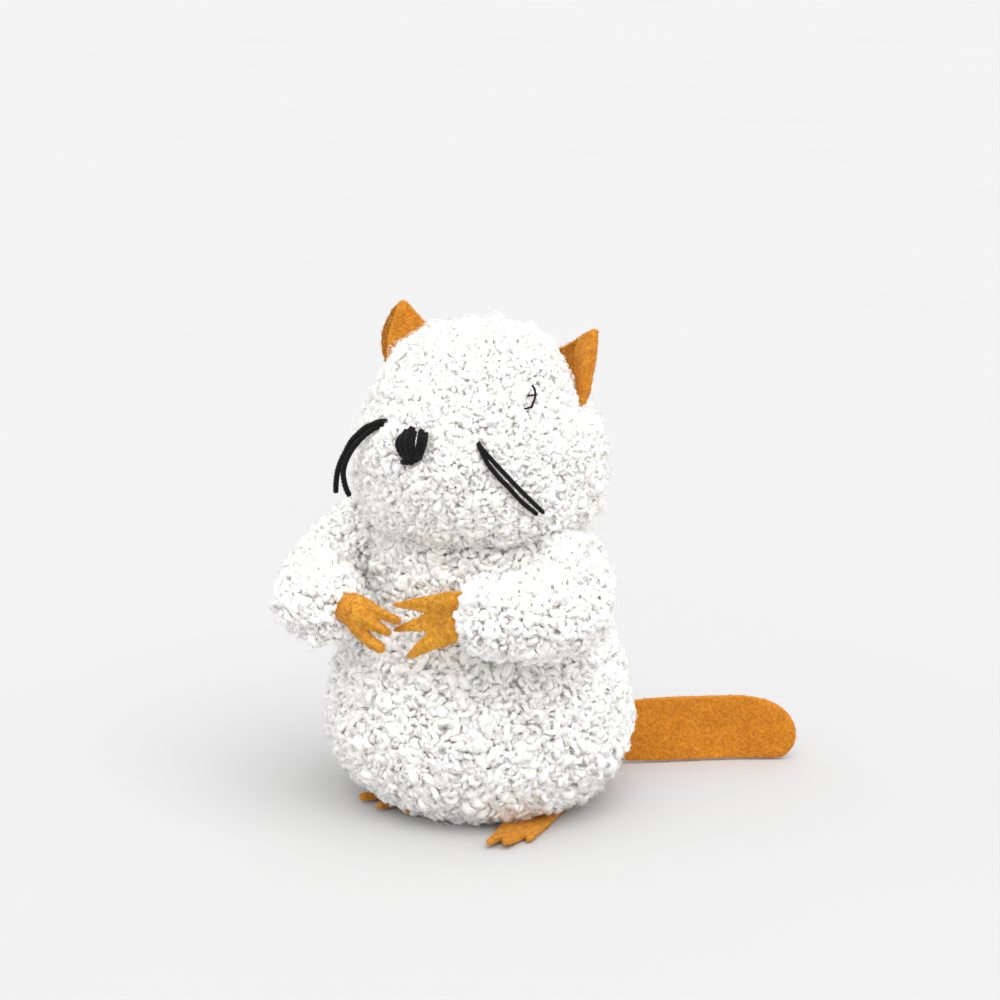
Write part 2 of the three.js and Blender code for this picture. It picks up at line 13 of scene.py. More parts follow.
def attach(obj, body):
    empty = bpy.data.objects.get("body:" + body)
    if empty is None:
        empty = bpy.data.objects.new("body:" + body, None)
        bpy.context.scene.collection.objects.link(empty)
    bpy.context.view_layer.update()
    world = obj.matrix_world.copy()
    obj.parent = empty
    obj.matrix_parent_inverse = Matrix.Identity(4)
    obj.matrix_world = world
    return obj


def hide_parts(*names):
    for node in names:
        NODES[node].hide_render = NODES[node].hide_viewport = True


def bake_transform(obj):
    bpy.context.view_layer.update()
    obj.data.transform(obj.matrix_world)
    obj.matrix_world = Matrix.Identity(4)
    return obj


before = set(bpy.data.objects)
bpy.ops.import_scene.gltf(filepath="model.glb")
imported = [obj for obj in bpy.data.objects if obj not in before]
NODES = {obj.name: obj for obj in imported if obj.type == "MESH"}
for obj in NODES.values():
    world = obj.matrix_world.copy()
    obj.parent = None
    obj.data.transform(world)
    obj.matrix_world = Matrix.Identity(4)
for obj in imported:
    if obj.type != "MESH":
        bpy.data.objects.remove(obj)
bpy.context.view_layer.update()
scene = bpy.context.scene
MM = 0.001
RNG = np.random.default_rng(41807)


# ------------------------------------------------------------------ camera
def add_camera():
    az, el, dist = math.radians(28), math.radians(15), 0.700
    target = Vector((0, 0, 0.060))
    back = Vector((math.sin(az) * math.cos(el), -math.cos(az) * math.cos(el), math.sin(el)))
    data = bpy.data.cameras.new("camera")
    data.lens, data.sensor_width = 100.8, 36
    data.shift_x, data.shift_y = 0.020, 0.067
    data.clip_start, data.clip_end = 0.01, 20
    cam = bpy.data.objects.new("camera", data)
    scene.collection.objects.link(cam)
    cam.location = target + back * dist
    cam.rotation_mode = "QUATERNION"
    cam.rotation_quaternion = (-back).to_track_quat("-Z", "Y")
    scene.camera = cam


add_camera()


# ------------------------------------------------------------------ vectors
def unit(v, axis=-1):
    v = np.asarray(v, float)
    return v / np.maximum(np.linalg.norm(v, axis=axis, keepdims=True), 1e-12)


def catmull(points, n):
    """n points along the centripetal Catmull-Rom curve through the points, evenly spaced along it."""
    p = np.asarray(points, float)
    p = np.vstack([2 * p[0] - p[1], p, 2 * p[-1] - p[-2]])
    out = []
    for i in range(1, len(p) - 2):
        t = [0.0]
        for k in range(3):
            t.append(t[-1] + max(np.linalg.norm(p[i + k] - p[i + k - 1]), 1e-6) ** 0.5)
        s = np.linspace(t[1], t[2], 24, endpoint=False)[:, None]
        a1 = (t[1] - s) / (t[1] - t[0]) * p[i - 1] + (s - t[0]) / (t[1] - t[0]) * p[i]
        a2 = (t[2] - s) / (t[2] - t[1]) * p[i] + (s - t[1]) / (t[2] - t[1]) * p[i + 1]
        a3 = (t[3] - s) / (t[3] - t[2]) * p[i + 1] + (s - t[2]) / (t[3] - t[2]) * p[i + 2]
        b1 = (t[2] - s) / (t[2] - t[0]) * a1 + (s - t[0]) / (t[2] - t[0]) * a2
        b2 = (t[3] - s) / (t[3] - t[1]) * a2 + (s - t[1]) / (t[3] - t[1]) * a3
        out.append((t[2] - s) / (t[2] - t[1]) * b1 + (s - t[1]) / (t[2] - t[1]) * b2)
    out = np.vstack(out + [p[-2][None]])
    d = np.concatenate([[0], np.cumsum(np.linalg.norm(np.diff(out, axis=0), axis=1))])
    at = np.linspace(0, d[-1], n)
    return np.stack([np.interp(at, d, out[:, k]) for k in range(out.shape[1])], 1)


def polyline_distance(points, path):
    """Distance from each point to a path, and how far along it (0 to 1) the nearest place is."""
    a, b = path[:-1], path[1:]
    ab = b - a
    t = np.clip(((points[:, None] - a) * ab).sum(-1) / np.maximum((ab * ab).sum(-1), 1e-9), 0, 1)
    d = np.linalg.norm(points[:, None] - (a + t[..., None] * ab), axis=-1)
    i = d.argmin(1)
    rows = np.arange(len(points))
    return d[rows, i], (i + t[rows, i]) / len(ab)


# ------------------------------------------------------------------ meshes
def new_mesh(name, verts, faces_by_size, materials, index=None, smooth=True):
    """A mesh from points in mm and a list of face arrays (each n by corners)."""
    me = bpy.data.meshes.new(name)
    v = np.ascontiguousarray(np.asarray(verts, np.float32) * MM)
    me.vertices.add(len(v))
    me.vertices.foreach_set("co", v.ravel())
    faces_by_size = [np.asarray(f, np.int32) for f in faces_by_size if len(f)]
    corners = np.concatenate([f.ravel() for f in faces_by_size])
    sizes = np.concatenate([np.full(len(f), f.shape[1], np.int32) for f in faces_by_size])
    me.loops.add(len(corners))
    me.loops.foreach_set("vertex_index", corners)
    me.polygons.add(len(sizes))
    starts = np.concatenate([[0], np.cumsum(sizes)[:-1]]).astype(np.int32)
    me.polygons.foreach_set("loop_start", starts)
    if index is not None:
        me.polygons.foreach_set("material_index", np.asarray(index, np.int32))
    if smooth:
        me.polygons.foreach_set("use_smooth", np.ones(len(sizes), bool))
    me.update(calc_edges=True)
    me.validate()
    for m in materials if isinstance(materials, (list, tuple)) else [materials]:
        me.materials.append(m)
    ob = bpy.data.objects.new(name, me)
    scene.collection.objects.link(ob)
    return ob


def tube_arrays(paths, radii, sides, ridge=0.0, twist=0.0):
    """Points and faces of closed tubes along paths (n, s, 3) with radii (n, s). ridge makes every other corner
    of the section stand proud, like a bundle of fibres, and twist turns the section along the tube."""
    n, s, _ = paths.shape
    tan = unit(np.gradient(paths, axis=1))
    ref = np.where(np.abs(tan[:, 0, 2:3]) < 0.8, [[0.0, 0, 1]], [[1.0, 0, 0]])
    nor = unit(np.cross(tan[:, 0], ref))
    rows = [nor]
    for i in range(1, s):
        nor = unit(nor - (nor * tan[:, i]).sum(-1, keepdims=True) * tan[:, i])
        rows.append(nor)
    N = np.stack(rows, 1)
    B = np.cross(tan, N)
    a = 2 * np.pi * np.arange(sides) / sides + twist * np.linspace(0, 1, s)[:, None]
    ring = N[:, :, None] * np.cos(a)[None, :, :, None] + B[:, :, None] * np.sin(a)[None, :, :, None]
    proud = 1 + ridge * np.where(np.arange(sides) % 2, -1.0, 1.0)
    verts = paths[:, :, None] + ring * (radii[:, :, None] * proud)[..., None]
    base = (np.arange(n) * s * sides)[:, None, None]
    i, k = np.arange(s - 1)[:, None] * sides, np.arange(sides)
    q = np.stack([i + k, i + (k + 1) % sides, i + sides + (k + 1) % sides, i + sides + k], -1)
    quads = (base[..., None] + q[None]).reshape(-1, 4)
    first = base[:, 0] + np.arange(sides)[::-1]
    last = base[:, 0] + (s - 1) * sides + np.arange(sides)
    return verts.reshape(-1, 3), quads, np.concatenate([first, last])


def tubes(name, paths, radii, sides, materials, which=None, ridge=0.0, twist=0.0, smooth=True):
    """Many closed tubes as one piece. which gives each tube's material."""
    paths = np.asarray(paths, float)
    n, s, _ = paths.shape
    v, q, caps = tube_arrays(paths, np.broadcast_to(radii, (n, s)), sides, ridge, twist)
    index = None
    if which is not None:
        which = np.asarray(which)
        index = np.concatenate([np.repeat(which, (s - 1) * sides), which, which])
    return new_mesh(name, v, [q, caps], materials, index, smooth)


def apply_modifiers(ob):
    dg = bpy.context.evaluated_depsgraph_get()
    me = bpy.data.meshes.new_from_object(ob.evaluated_get(dg), depsgraph=dg)
    old = ob.data
    ob.modifiers.clear()
    ob.data = me
    bpy.data.meshes.remove(old)
    return ob


def remeshed(ob, voxel, smooth=2, factor=0.5):
    m = ob.modifiers.new("remesh", "REMESH")
    m.mode, m.voxel_size, m.use_smooth_shade = "VOXEL", voxel * MM, True
    if smooth:
        s = ob.modifiers.new("smooth", "SMOOTH")
        s.factor, s.iterations = factor, smooth
    return apply_modifiers(ob)


def coords(ob):
    v = np.zeros(len(ob.data.vertices) * 3, np.float32)
    ob.data.vertices.foreach_get("co", v)
    return v.reshape(-1, 3).astype(float) / MM


def set_coords(ob, v):
    ob.data.vertices.foreach_set("co", np.ascontiguousarray(v * MM, np.float32).ravel())
    ob.data.update()


def vertex_normals(ob):
    v = np.zeros(len(ob.data.vertices) * 3, np.float32)
    ob.data.vertices.foreach_get("normal", v)
    return v.reshape(-1, 3).astype(float)


def field(points, scale, seed):
    """Smooth noise at each point (mm), about -1 to 1."""
    off = Vector((seed * 17.3, seed * 5.1, -seed * 9.7))
    return np.array([noise.noise(Vector(p) / scale + off) for p in points])


def set_material(ob, mats):
    ob.data.materials.clear()
    for m in mats if isinstance(mats, (list, tuple)) else [mats]:
        ob.data.materials.append(m)


# ------------------------------------------------------------------ materials
def material(name, **sockets):
    m = bpy.data.materials.new(name)
    m.use_nodes = True
    nt = m.node_tree
    p = nt.nodes["Principled BSDF"]
    for k, v in sockets.items():
        key = k.replace("_", " ")
        p.inputs[key].default_value = (*v, 1) if isinstance(v, tuple) and len(v) == 3 and "Radius" not in key else v
    return m, nt, p


def node(nt, kind, **values):
    n = nt.nodes.new(kind)
    for k, v in values.items():
        if k.startswith("in_"):
            key = k[3:].replace("_", " ")
            n.inputs[int(key) if key.isdigit() else key].default_value = v
        else:
            setattr(n, k, v)
    return n


def ramp(nt, fac, stops, interpolation="LINEAR"):
    r = nt.nodes.new("ShaderNodeValToRGB")
    r.color_ramp.interpolation = interpolation
    while len(r.color_ramp.elements) < len(stops):
        r.color_ramp.elements.new(0.5)
    for e, (pos, col) in zip(r.color_ramp.elements, stops):
        e.position, e.color = pos, (*col, 1) if len(col) == 3 else col
    nt.links.new(fac, r.inputs["Fac"])
    return r.outputs["Color"]


def object_coords(nt, scale=(1, 1, 1)):
    t = node(nt, "ShaderNodeTexCoord")
    m = node(nt, "ShaderNodeMapping", in_Scale=scale)
    nt.links.new(t.outputs["Object"], m.inputs["Vector"])
    return m.outputs["Vector"]


def noise_tex(nt, vec, scale, detail=4, rough=0.6, distortion=0.0):
    n = node(nt, "ShaderNodeTexNoise", in_Scale=scale, in_Detail=detail, in_Roughness=rough, in_Distortion=distortion)
    nt.links.new(vec, n.inputs["Vector"])
    return n


def bump(nt, p, height, strength, distance):
    b = node(nt, "ShaderNodeBump", in_Strength=strength, in_Distance=distance)
    nt.links.new(height, b.inputs["Height"])
    nt.links.new(b.outputs["Normal"], p.inputs["Normal"])
    return b


def mix_colour(nt, fac, a, b, blend="MIX"):
    m = node(nt, "ShaderNodeMix", data_type="RGBA", blend_type=blend)
    if isinstance(fac, float):
        m.inputs[0].default_value = fac
    else:
        nt.links.new(fac, m.inputs[0])
    for socket, value in ((m.inputs[6], a), (m.inputs[7], b)):
        if isinstance(value, tuple):
            socket.default_value = (*value, 1)
        else:
            nt.links.new(value, socket)
    return m.outputs[2]


def pile_material(name, colour, rough=0.72):
    return material(
        name, Base_Color=colour, Roughness=rough, Specular_IOR_Level=0.4,
    )[0]


PILE = [
    pile_material("pile_white", (0.985, 0.979, 0.955), 0.45),
    pile_material("pile_bright", (0.99, 0.989, 0.982), 0.3),
    pile_material("pile_warm", (0.982, 0.972, 0.935), 0.5),
    pile_material("pile_shade", (0.972, 0.96, 0.92), 0.6),
]


def backing_material():
    m, nt, p = material("pile_backing", Roughness=0.95, Sheen_Weight=0.2)
    vec = object_coords(nt)
    n1 = noise_tex(nt, vec, 620, 5, 0.65, 0.8)
    col = ramp(nt, n1.outputs["Fac"], [(0.3, (0.965, 0.955, 0.93)), (0.55, (0.98, 0.974, 0.955)), (0.75, (0.99, 0.985, 0.975))])
    nt.links.new(col, p.inputs["Base Color"])
    bump(nt, p, n1.outputs["Fac"], 0.7, 0.0008)
    return m


def felt_material(name, base, seed):
    """Needle felt: tangled fibres, lighter where they catch the light, denser and darker between."""
    m, nt, p = material(name, Roughness=0.92, Sheen_Weight=0.25, Sheen_Roughness=0.4, Specular_IOR_Level=0.15)
    p.inputs["Sheen Tint"].default_value = (1.0, 0.62, 0.2, 1)
    dark = tuple(c * k for c, k in zip(base, (0.76, 0.66, 0.55)))
    light = tuple(min(1, c * k) for c, k in zip(base, (1.12, 1.25, 1.6)))
    vec = object_coords(nt)
    warp = noise_tex(nt, vec, 420 + seed, 2, 0.5)
    add = node(nt, "ShaderNodeVectorMath", operation="MULTIPLY_ADD")
    nt.links.new(warp.outputs["Color"], add.inputs[0])
    add.inputs[1].default_value = (0.0016, 0.0016, 0.0016)
    nt.links.new(vec, add.inputs[2])
    # Two crossed layers of stretched noise read as short fibres lying in different directions.
    layers = []
    for scale, turn in (((1, 0.22, 0.6), 0.6), ((0.24, 1, 0.5), 2.1)):
        mp = node(nt, "ShaderNodeMapping", in_Scale=scale, in_Rotation=(turn, turn * 0.7, turn * 1.3))
        nt.links.new(add.outputs[0], mp.inputs["Vector"])
        layers.append(noise_tex(nt, mp.outputs["Vector"], 2600, 5, 0.72, 0.4).outputs["Fac"])
    mx = node(nt, "ShaderNodeMath", operation="ADD")
    nt.links.new(layers[0], mx.inputs[0])
    nt.links.new(layers[1], mx.inputs[1])
    half = node(nt, "ShaderNodeMath", operation="MULTIPLY", in_1=0.5)
    nt.links.new(mx.outputs[0], half.inputs[0])
    fibre = ramp(nt, half.outputs[0], [(0.42, dark), (0.5, base), (0.58, light)])
    broad = noise_tex(nt, vec, 190 + seed, 3, 0.6)
    shade = ramp(nt, broad.outputs["Fac"], [(0.32, (0.80, 0.74, 0.66)), (0.68, (1.0, 1.0, 1.0))])
    nt.links.new(mix_colour(nt, 0.8, fibre, shade, "MULTIPLY"), p.inputs["Base Color"])
    bump(nt, p, half.outputs[0], 0.9, 0.0011)
    return m


FELT_BASE = {"ears": (0.80, 0.315, 0.028), "paws": (0.93, 0.46, 0.045), "feet": (0.86, 0.375, 0.034), "tail": (0.80, 0.29, 0.024)}
FELT = {n: felt_material("felt_" + n, c, i * 13) for i, (n, c) in enumerate(FELT_BASE.items())}
# Painted shade: the ear felt darkened to 0.62 for each ear's back leaf, standing in for the shadow in the fold behind
# the front leaf; both leaves are the same felt.
FELT["inner"] = felt_material("felt_ear_inner", tuple(c * 0.62 for c in FELT_BASE["ears"]), 77)
FELT_FIBRES = [
    material("felt_fibre", Base_Color=(0.76, 0.29, 0.028), Roughness=0.75, Sheen_Weight=0.2, Specular_IOR_Level=0.2)[0],
    material("felt_fibre_light", Base_Color=(0.88, 0.43, 0.075), Roughness=0.7, Sheen_Weight=0.25, Specular_IOR_Level=0.25)[0],
    material("felt_fibre_dark", Base_Color=(0.58, 0.19, 0.014), Roughness=0.85, Specular_IOR_Level=0.15)[0],
]


def yarn_material():
    m, nt, p = material("yarn_black", Roughness=0.82, Sheen_Weight=0.08, Sheen_Roughness=0.35, Specular_IOR_Level=0.25)
    vec = object_coords(nt)
    n = noise_tex(nt, vec, 3200, 4, 0.7, 0.6)
    col = ramp(nt, n.outputs["Fac"], [(0.35, (0.0015, 0.0015, 0.002)), (0.62, (0.005, 0.005, 0.006)), (0.8, (0.02, 0.02, 0.023))])
    nt.links.new(col, p.inputs["Base Color"])
    bump(nt, p, n.outputs["Fac"], 0.8, 0.0004)
    return m


YARN = yarn_material()
YARN_FIBRE = material("yarn_fibre", Base_Color=(0.006, 0.006, 0.007), Roughness=0.7, Specular_IOR_Level=0.3)[0]


def plain_detail(name, colour, rough, scale=900, depth=0.00008, strength=0.25, metallic=0.0, spread=0.12, **extra):
    """Moulded plastic or metal with fine surface variation in colour, gloss and relief."""
    m, nt, p = material(name, Metallic=metallic, **extra)
    vec = object_coords(nt)
    n = noise_tex(nt, vec, scale, 5, 0.6)
    lo = tuple(c * (1 - spread) for c in colour)
    hi = tuple(min(1, c * (1 + spread * 0.5)) for c in colour)
    nt.links.new(ramp(nt, n.outputs["Fac"], [(0.3, lo), (0.7, hi)]), p.inputs["Base Color"])
    r = node(nt, "ShaderNodeMapRange", in_3=max(rough - 0.1, 0.02), in_4=min(rough + 0.12, 1.0))
    nt.links.new(n.outputs["Fac"], r.inputs[0])
    nt.links.new(r.outputs[0], p.inputs["Roughness"])
    bump(nt, p, n.outputs["Fac"], strength, depth)
    return m


def fill_material():
    m, nt, p = material("fibre_fill", Roughness=0.95, Sheen_Weight=0.4, Subsurface_Weight=0.2, Subsurface_Scale=0.002)
    vec = object_coords(nt)
    n = noise_tex(nt, vec, 500, 6, 0.75, 2.5)
    nt.links.new(ramp(nt, n.outputs["Fac"], [(0.35, (0.78, 0.785, 0.8)), (0.65, (0.95, 0.95, 0.96))]), p.inputs["Base Color"])
    bump(nt, p, n.outputs["Fac"], 0.9, 0.0015)
    return m


def lining_material():
    m, nt, p = material("lining", Roughness=0.9, Sheen_Weight=0.3)
    vec = object_coords(nt)
    knit = node(nt, "ShaderNodeTexBrick", in_Scale=1100, in_Mortar_Size=0.12, in_Mortar_Smooth=0.8)
    knit.inputs["Color1"].default_value = (0.86, 0.85, 0.82, 1)
    knit.inputs["Color2"].default_value = (0.8, 0.79, 0.76, 1)
    knit.inputs["Mortar"].default_value = (0.6, 0.59, 0.56, 1)
    nt.links.new(vec, knit.inputs["Vector"])
    n = noise_tex(nt, vec, 1500, 4, 0.7)
    nt.links.new(mix_colour(nt, 0.35, knit.outputs["Color"], ramp(nt, n.outputs["Fac"], [(0.3, (0.7, 0.69, 0.66)), (0.7, (0.93, 0.92, 0.9))])), p.inputs["Base Color"])
    bump(nt, p, knit.outputs["Fac"], 0.5, 0.0003).invert = True
    return m


BACKING, FILL, LINING = backing_material(), fill_material(), lining_material()


# ------------------------------------------------------------------ body surfaces, as grids
class Grid:
    """A surface sampled on a grid (around, along), closed round, with outward normals."""

    def __init__(self, P, wrap=True):
        self.P = P
        roll = lambda a, k: np.roll(a, k, axis=0)
        du = roll(P, -1) - roll(P, 1)
        dv = np.gradient(P, axis=1)
        self.N = unit(np.cross(du, dv))
        c = P.mean((0, 1))
        if ((P - c) * self.N).sum() < 0:
            self.N = -self.N
        # rows that close to a point take the next row's mean direction
        for j in (0, P.shape[1] - 1):
            if np.ptp(P[:, j], axis=0).max() < 1e-3:
                k = 1 if j == 0 else j - 1
                self.N[:, j] = unit(self.N[:, k].mean(0))
        e1 = roll(P, -1)[:, :-1] - P[:, :-1]
        e2 = P[:, 1:] - P[:, :-1]
        self.A = np.linalg.norm(np.cross(e1, e2), axis=-1)
        self.T = unit(dv)

    def sample(self, n, rng):
        flat = self.A.ravel() / self.A.sum()
        c = rng.choice(len(flat), n, p=flat)
        i, j = np.divmod(c, self.A.shape[1])
        a, b = rng.random(n)[:, None], rng.random(n)[:, None]
        k = (i + 1) % len(self.P)
        f = lambda G: G[i, j] * (1 - a) * (1 - b) + G[k, j] * a * (1 - b) + G[i, j + 1] * (1 - a) * b + G[k, j + 1] * a * b
        return f(self.P), unit(f(self.N))

    def mesh(self, name, mats):
        """The grid as a mesh, with the end rows closed."""
        nu, nv = self.P.shape[:2]
        v = self.P.reshape(-1, 3)
        i, j = np.meshgrid(np.arange(nu), np.arange(nv - 1), indexing="ij")
        k = (i + 1) % nu
        q = np.stack([i * nv + j, k * nv + j, k * nv + j + 1, i * nv + j + 1], -1).reshape(-1, 4)
        caps = np.array([np.arange(nu)[::-1] * nv, np.arange(nu) * nv + nv - 1])
        ob = new_mesh(name, v, [q, caps], mats)
        bm = bmesh.new()
        bm.from_mesh(ob.data)
        bmesh.ops.remove_doubles(bm, verts=bm.verts, dist=1e-6)
        bmesh.ops.recalc_face_normals(bm, faces=bm.faces)
        bm.to_mesh(ob.data)
        bm.free()
        return ob


def offset_curve(curve, d):
    c = np.asarray(curve, float)
    t = unit(np.gradient(c, axis=0))
    return np.stack([np.maximum(c[:, 0] + d * t[:, 1], 0.0), c[:, 1] - d * t[:, 0]], 1)


TORSO_CURVE = [(21, 1.4), (24.5, 2.4), (28, 4.4), (31.2, 7.2), (34.6, 11.4), (36.8, 17), (37.6, 23.5), (36.8, 29.5), (35, 35.5), (32.8, 41),
               (30.4, 46), (28.5, 51), (27.6, 57), (26.8, 63), (25.0, 69), (23.4, 74), (21, 79)]
TORSO_DEPTH = 0.93
HEAD_CURVE = [(22.0, 71.5), (26.2, 73.2), (29, 76.8), (30.3, 82), (30.4, 86.5), (29.9, 91.2), (28.8, 96), (27.1, 100.8), (25.2, 105.4), (23.1, 109.8),
              (20.8, 113.6), (17.5, 116.7), (12.3, 119.1), (6.3, 120.3), (0, 120.7)]
HEAD_DEPTH = 0.96
SINK = 1.1  # how far the backing cloth lies inside the panels' mid-pile surface
NECK_Z = 74.0
SIDE_SEAM_Y = 5.5


def lathe_grid(curve, nu, nv, shape):
    c = catmull(curve, nv)
    a = 2 * np.pi * np.arange(nu) / nu
    r, z = c[:, 0][None], c[:, 1][None]
    x, y = r * np.cos(a)[:, None], r * np.sin(a)[:, None]
    return Grid(np.stack(shape(x, y, np.broadcast_to(z, x.shape)), -1))


def torso_shape(x, y, z):
    a = np.degrees(np.arctan2(y, x)) % 360
    grow = 1 + 0.085 * np.exp(-(((a - 208) / 34) ** 2)) * np.exp(-(((z - 47) / 7.5) ** 2))
    return x * grow, y * TORSO_DEPTH * grow, z


def muzzle(phi, z):
    return 8 * np.exp(-((phi / np.radians(34)) ** 2)) * np.exp(-(((z - 96.5) / np.where(z < 96.5, 15.0, 12.5)) ** 2))


def head_shape(x, y, z):
    r = np.maximum(np.hypot(x, y), 1e-6)
    phi = np.arctan2(np.abs(x), -y)
    grow = (r + muzzle(phi, z) * np.minimum(1, r / 20)) / r
    return x * grow, y * grow * HEAD_DEPTH, z


def face_seam_side(p):
    """Positive behind the seam that holds the ears."""
    return p[..., 1] - (5.5 + 0.45 * (p[..., 2] - 109))


ARMS = {
    "left": [(19, -2, 65), (28, -8, 64), (33.2, -19, 58.4), (27.5, -31.5, 58.4), (16.0, -38.6, 60)],
    "right": [(-19, -2, 66), (-29.6, -7, 65.4), (-34.0, -15.5, 58.4), (-29.0, -30, 55.4), (-17.0, -38, 57)],
}
ARM_SHAPE = [(0, 0.9), (0.14, 1.02), (0.3, 1.06), (0.46, 1.05), (0.62, 1.05), (0.76, 1.05), (0.87, 1.0), (0.94, 0.9), (0.98, 0.62), (1.0, 0.0)]
ARM_R = 8.7


def arm_grid(path, d, nu, nv):
    c = catmull(path, 160)
    s = np.linspace(0, 1, nv) ** 0.85
    s = np.concatenate([[0], s])
    r = np.interp(s, [a for a, _ in ARM_SHAPE], [b for _, b in ARM_SHAPE]) * ARM_R + d
    r[0] = 0
    r[1] *= 0.8
    r[-1] = 0
    r = np.maximum(r, 0)
    ctr = np.stack([np.interp(s, np.linspace(0, 1, 160), c[:, k]) for k in range(3)], 1)
    tan = unit(np.gradient(c, axis=0))
    tan = unit(np.stack([np.interp(s, np.linspace(0, 1, 160), tan[:, k]) for k in range(3)], 1))
    n = unit(np.cross([0, 0, 1.0], tan))
    b = np.cross(tan, n)
    a = 2 * np.pi * np.arange(nu) / nu
    ctr = ctr - tan * (np.clip((s - 0.9) / 0.1, 0, 1) * -d * 0.4)[:, None]
    P = ctr[None] + r[None, :, None] * (np.cos(a)[:, None, None] * n[None] + np.sin(a)[:, None, None] * b[None])
    return Grid(P)


torso_grid = lathe_grid(offset_curve(TORSO_CURVE, -SINK), 120, 90, torso_shape)
head_grid = lathe_grid(offset_curve(HEAD_CURVE, -SINK), 120, 80, head_shape)
arm_grids = {s: arm_grid(p, -SINK, 48, 60) for s, p in ARMS.items()}
arm_paths = {s: catmull(p, 60) for s, p in ARMS.items()}


def inside_torso(p, grow=0.0):
    """Positive outside the torso's backing, in mm."""
    c = catmull(offset_curve(TORSO_CURVE, -SINK), 120)
    r = np.interp(p[:, 2], c[:, 1], c[:, 0], left=-50, right=-50)
    return np.hypot(p[:, 0], p[:, 1] / TORSO_DEPTH) - r - grow


def inside_head(p):
    c = catmull(offset_curve(HEAD_CURVE, -SINK), 120)
    r = np.interp(p[:, 2], c[:, 1], c[:, 0], left=-50, right=-50)
    phi = np.arctan2(np.abs(p[:, 0]), -p[:, 1])
    return np.hypot(p[:, 0], p[:, 1] / HEAD_DEPTH) - r - muzzle(phi, p[:, 2])


def arm_radius(s):
    return np.interp(s, [a for a, _ in ARM_SHAPE], [b for _, b in ARM_SHAPE]) * ARM_R - SINK


# ------------------------------------------------------------------ backing cloth, panel by panel
def panel(grid, name, keep, body, node_name, thickness=0.9):
    """The faces of a body surface on one side of its seams, with the cloth's thickness."""
    ob = grid.mesh(name, [BACKING])
    bm = bmesh.new()
    bm.from_mesh(ob.data)
    gone = [f for f in bm.faces if not keep(np.array(f.calc_center_median()) / MM)]
    bmesh.ops.delete(bm, geom=gone, context="FACES")
    bm.to_mesh(ob.data)
    bm.free()
    v = coords(ob)
    set_coords(ob, v + vertex_normals(ob) * (field(v, 6.0, 3) * 0.5)[:, None])
    s = ob.modifiers.new("cloth", "SOLIDIFY")
    s.thickness, s.offset = thickness * MM, -1
    apply_modifiers(ob)
    for p in ob.data.polygons:
        p.use_smooth = True
    if body:
        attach(ob, body)
        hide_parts(node_name)
    return ob


panel(torso_grid, "torso_skin_front", lambda p: p[1] < SIDE_SEAM_Y, "torso", "torso_cover_front")
panel(torso_grid, "torso_skin_back_left", lambda p: p[1] >= SIDE_SEAM_Y and p[0] >= 0, "torso", "torso_cover_back_left")
panel(torso_grid, "torso_skin_back_right", lambda p: p[1] >= SIDE_SEAM_Y and p[0] < 0, "torso", "torso_cover_back_right")
panel(head_grid, "head_skin_front", lambda p: face_seam_side(p) < 0, "head", "head_cover_front")
panel(head_grid, "head_skin_back", lambda p: face_seam_side(p) >= 0, "head", "head_cover_back")
SHOULDER = {s: (np.array(ARMS[s][0]) + (np.array(ARMS[s][1]) - ARMS[s][0]) * 0.35, np.array(ARMS[s][1]) + (np.array(ARMS[s][2]) - ARMS[s][1]) * 0.25) for s in ARMS}
for side in ARMS:
    ob = panel(arm_grids[side], "arm_skin_" + side, lambda p: True, None, None, 0.8)
    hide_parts("arm_cover_" + side)
    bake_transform(ob)

# ------------------------------------------------------------------ curly pile
FELT_ROOTS = {}


def spread(points, gap, limit=None):
    """Indices of points no closer to each other than gap, taken in order."""
    cell = {}
    kept = []
    keys = np.floor(points / gap).astype(int)
    near = [(i, j, k) for i in (-1, 0, 1) for j in (-1, 0, 1) for k in (-1, 0, 1)]
    g2 = gap * gap
    pts = points.tolist()
    for n, (x, y, z) in enumerate(keys.tolist()):
        p = pts[n]
        ok = True
        for a, b, c in near:
            for m in cell.get((x + a, y + b, z + c), ()):
                q = pts[m]
                if (p[0] - q[0]) ** 2 + (p[1] - q[1]) ** 2 + (p[2] - q[2]) ** 2 < g2:
                    ok = False
                    break
            if not ok:
                break
        if ok:
            cell.setdefault((x, y, z), []).append(n)
            kept.append(n)
            if limit and len(kept) >= limit:
                break
    return np.array(kept, int)


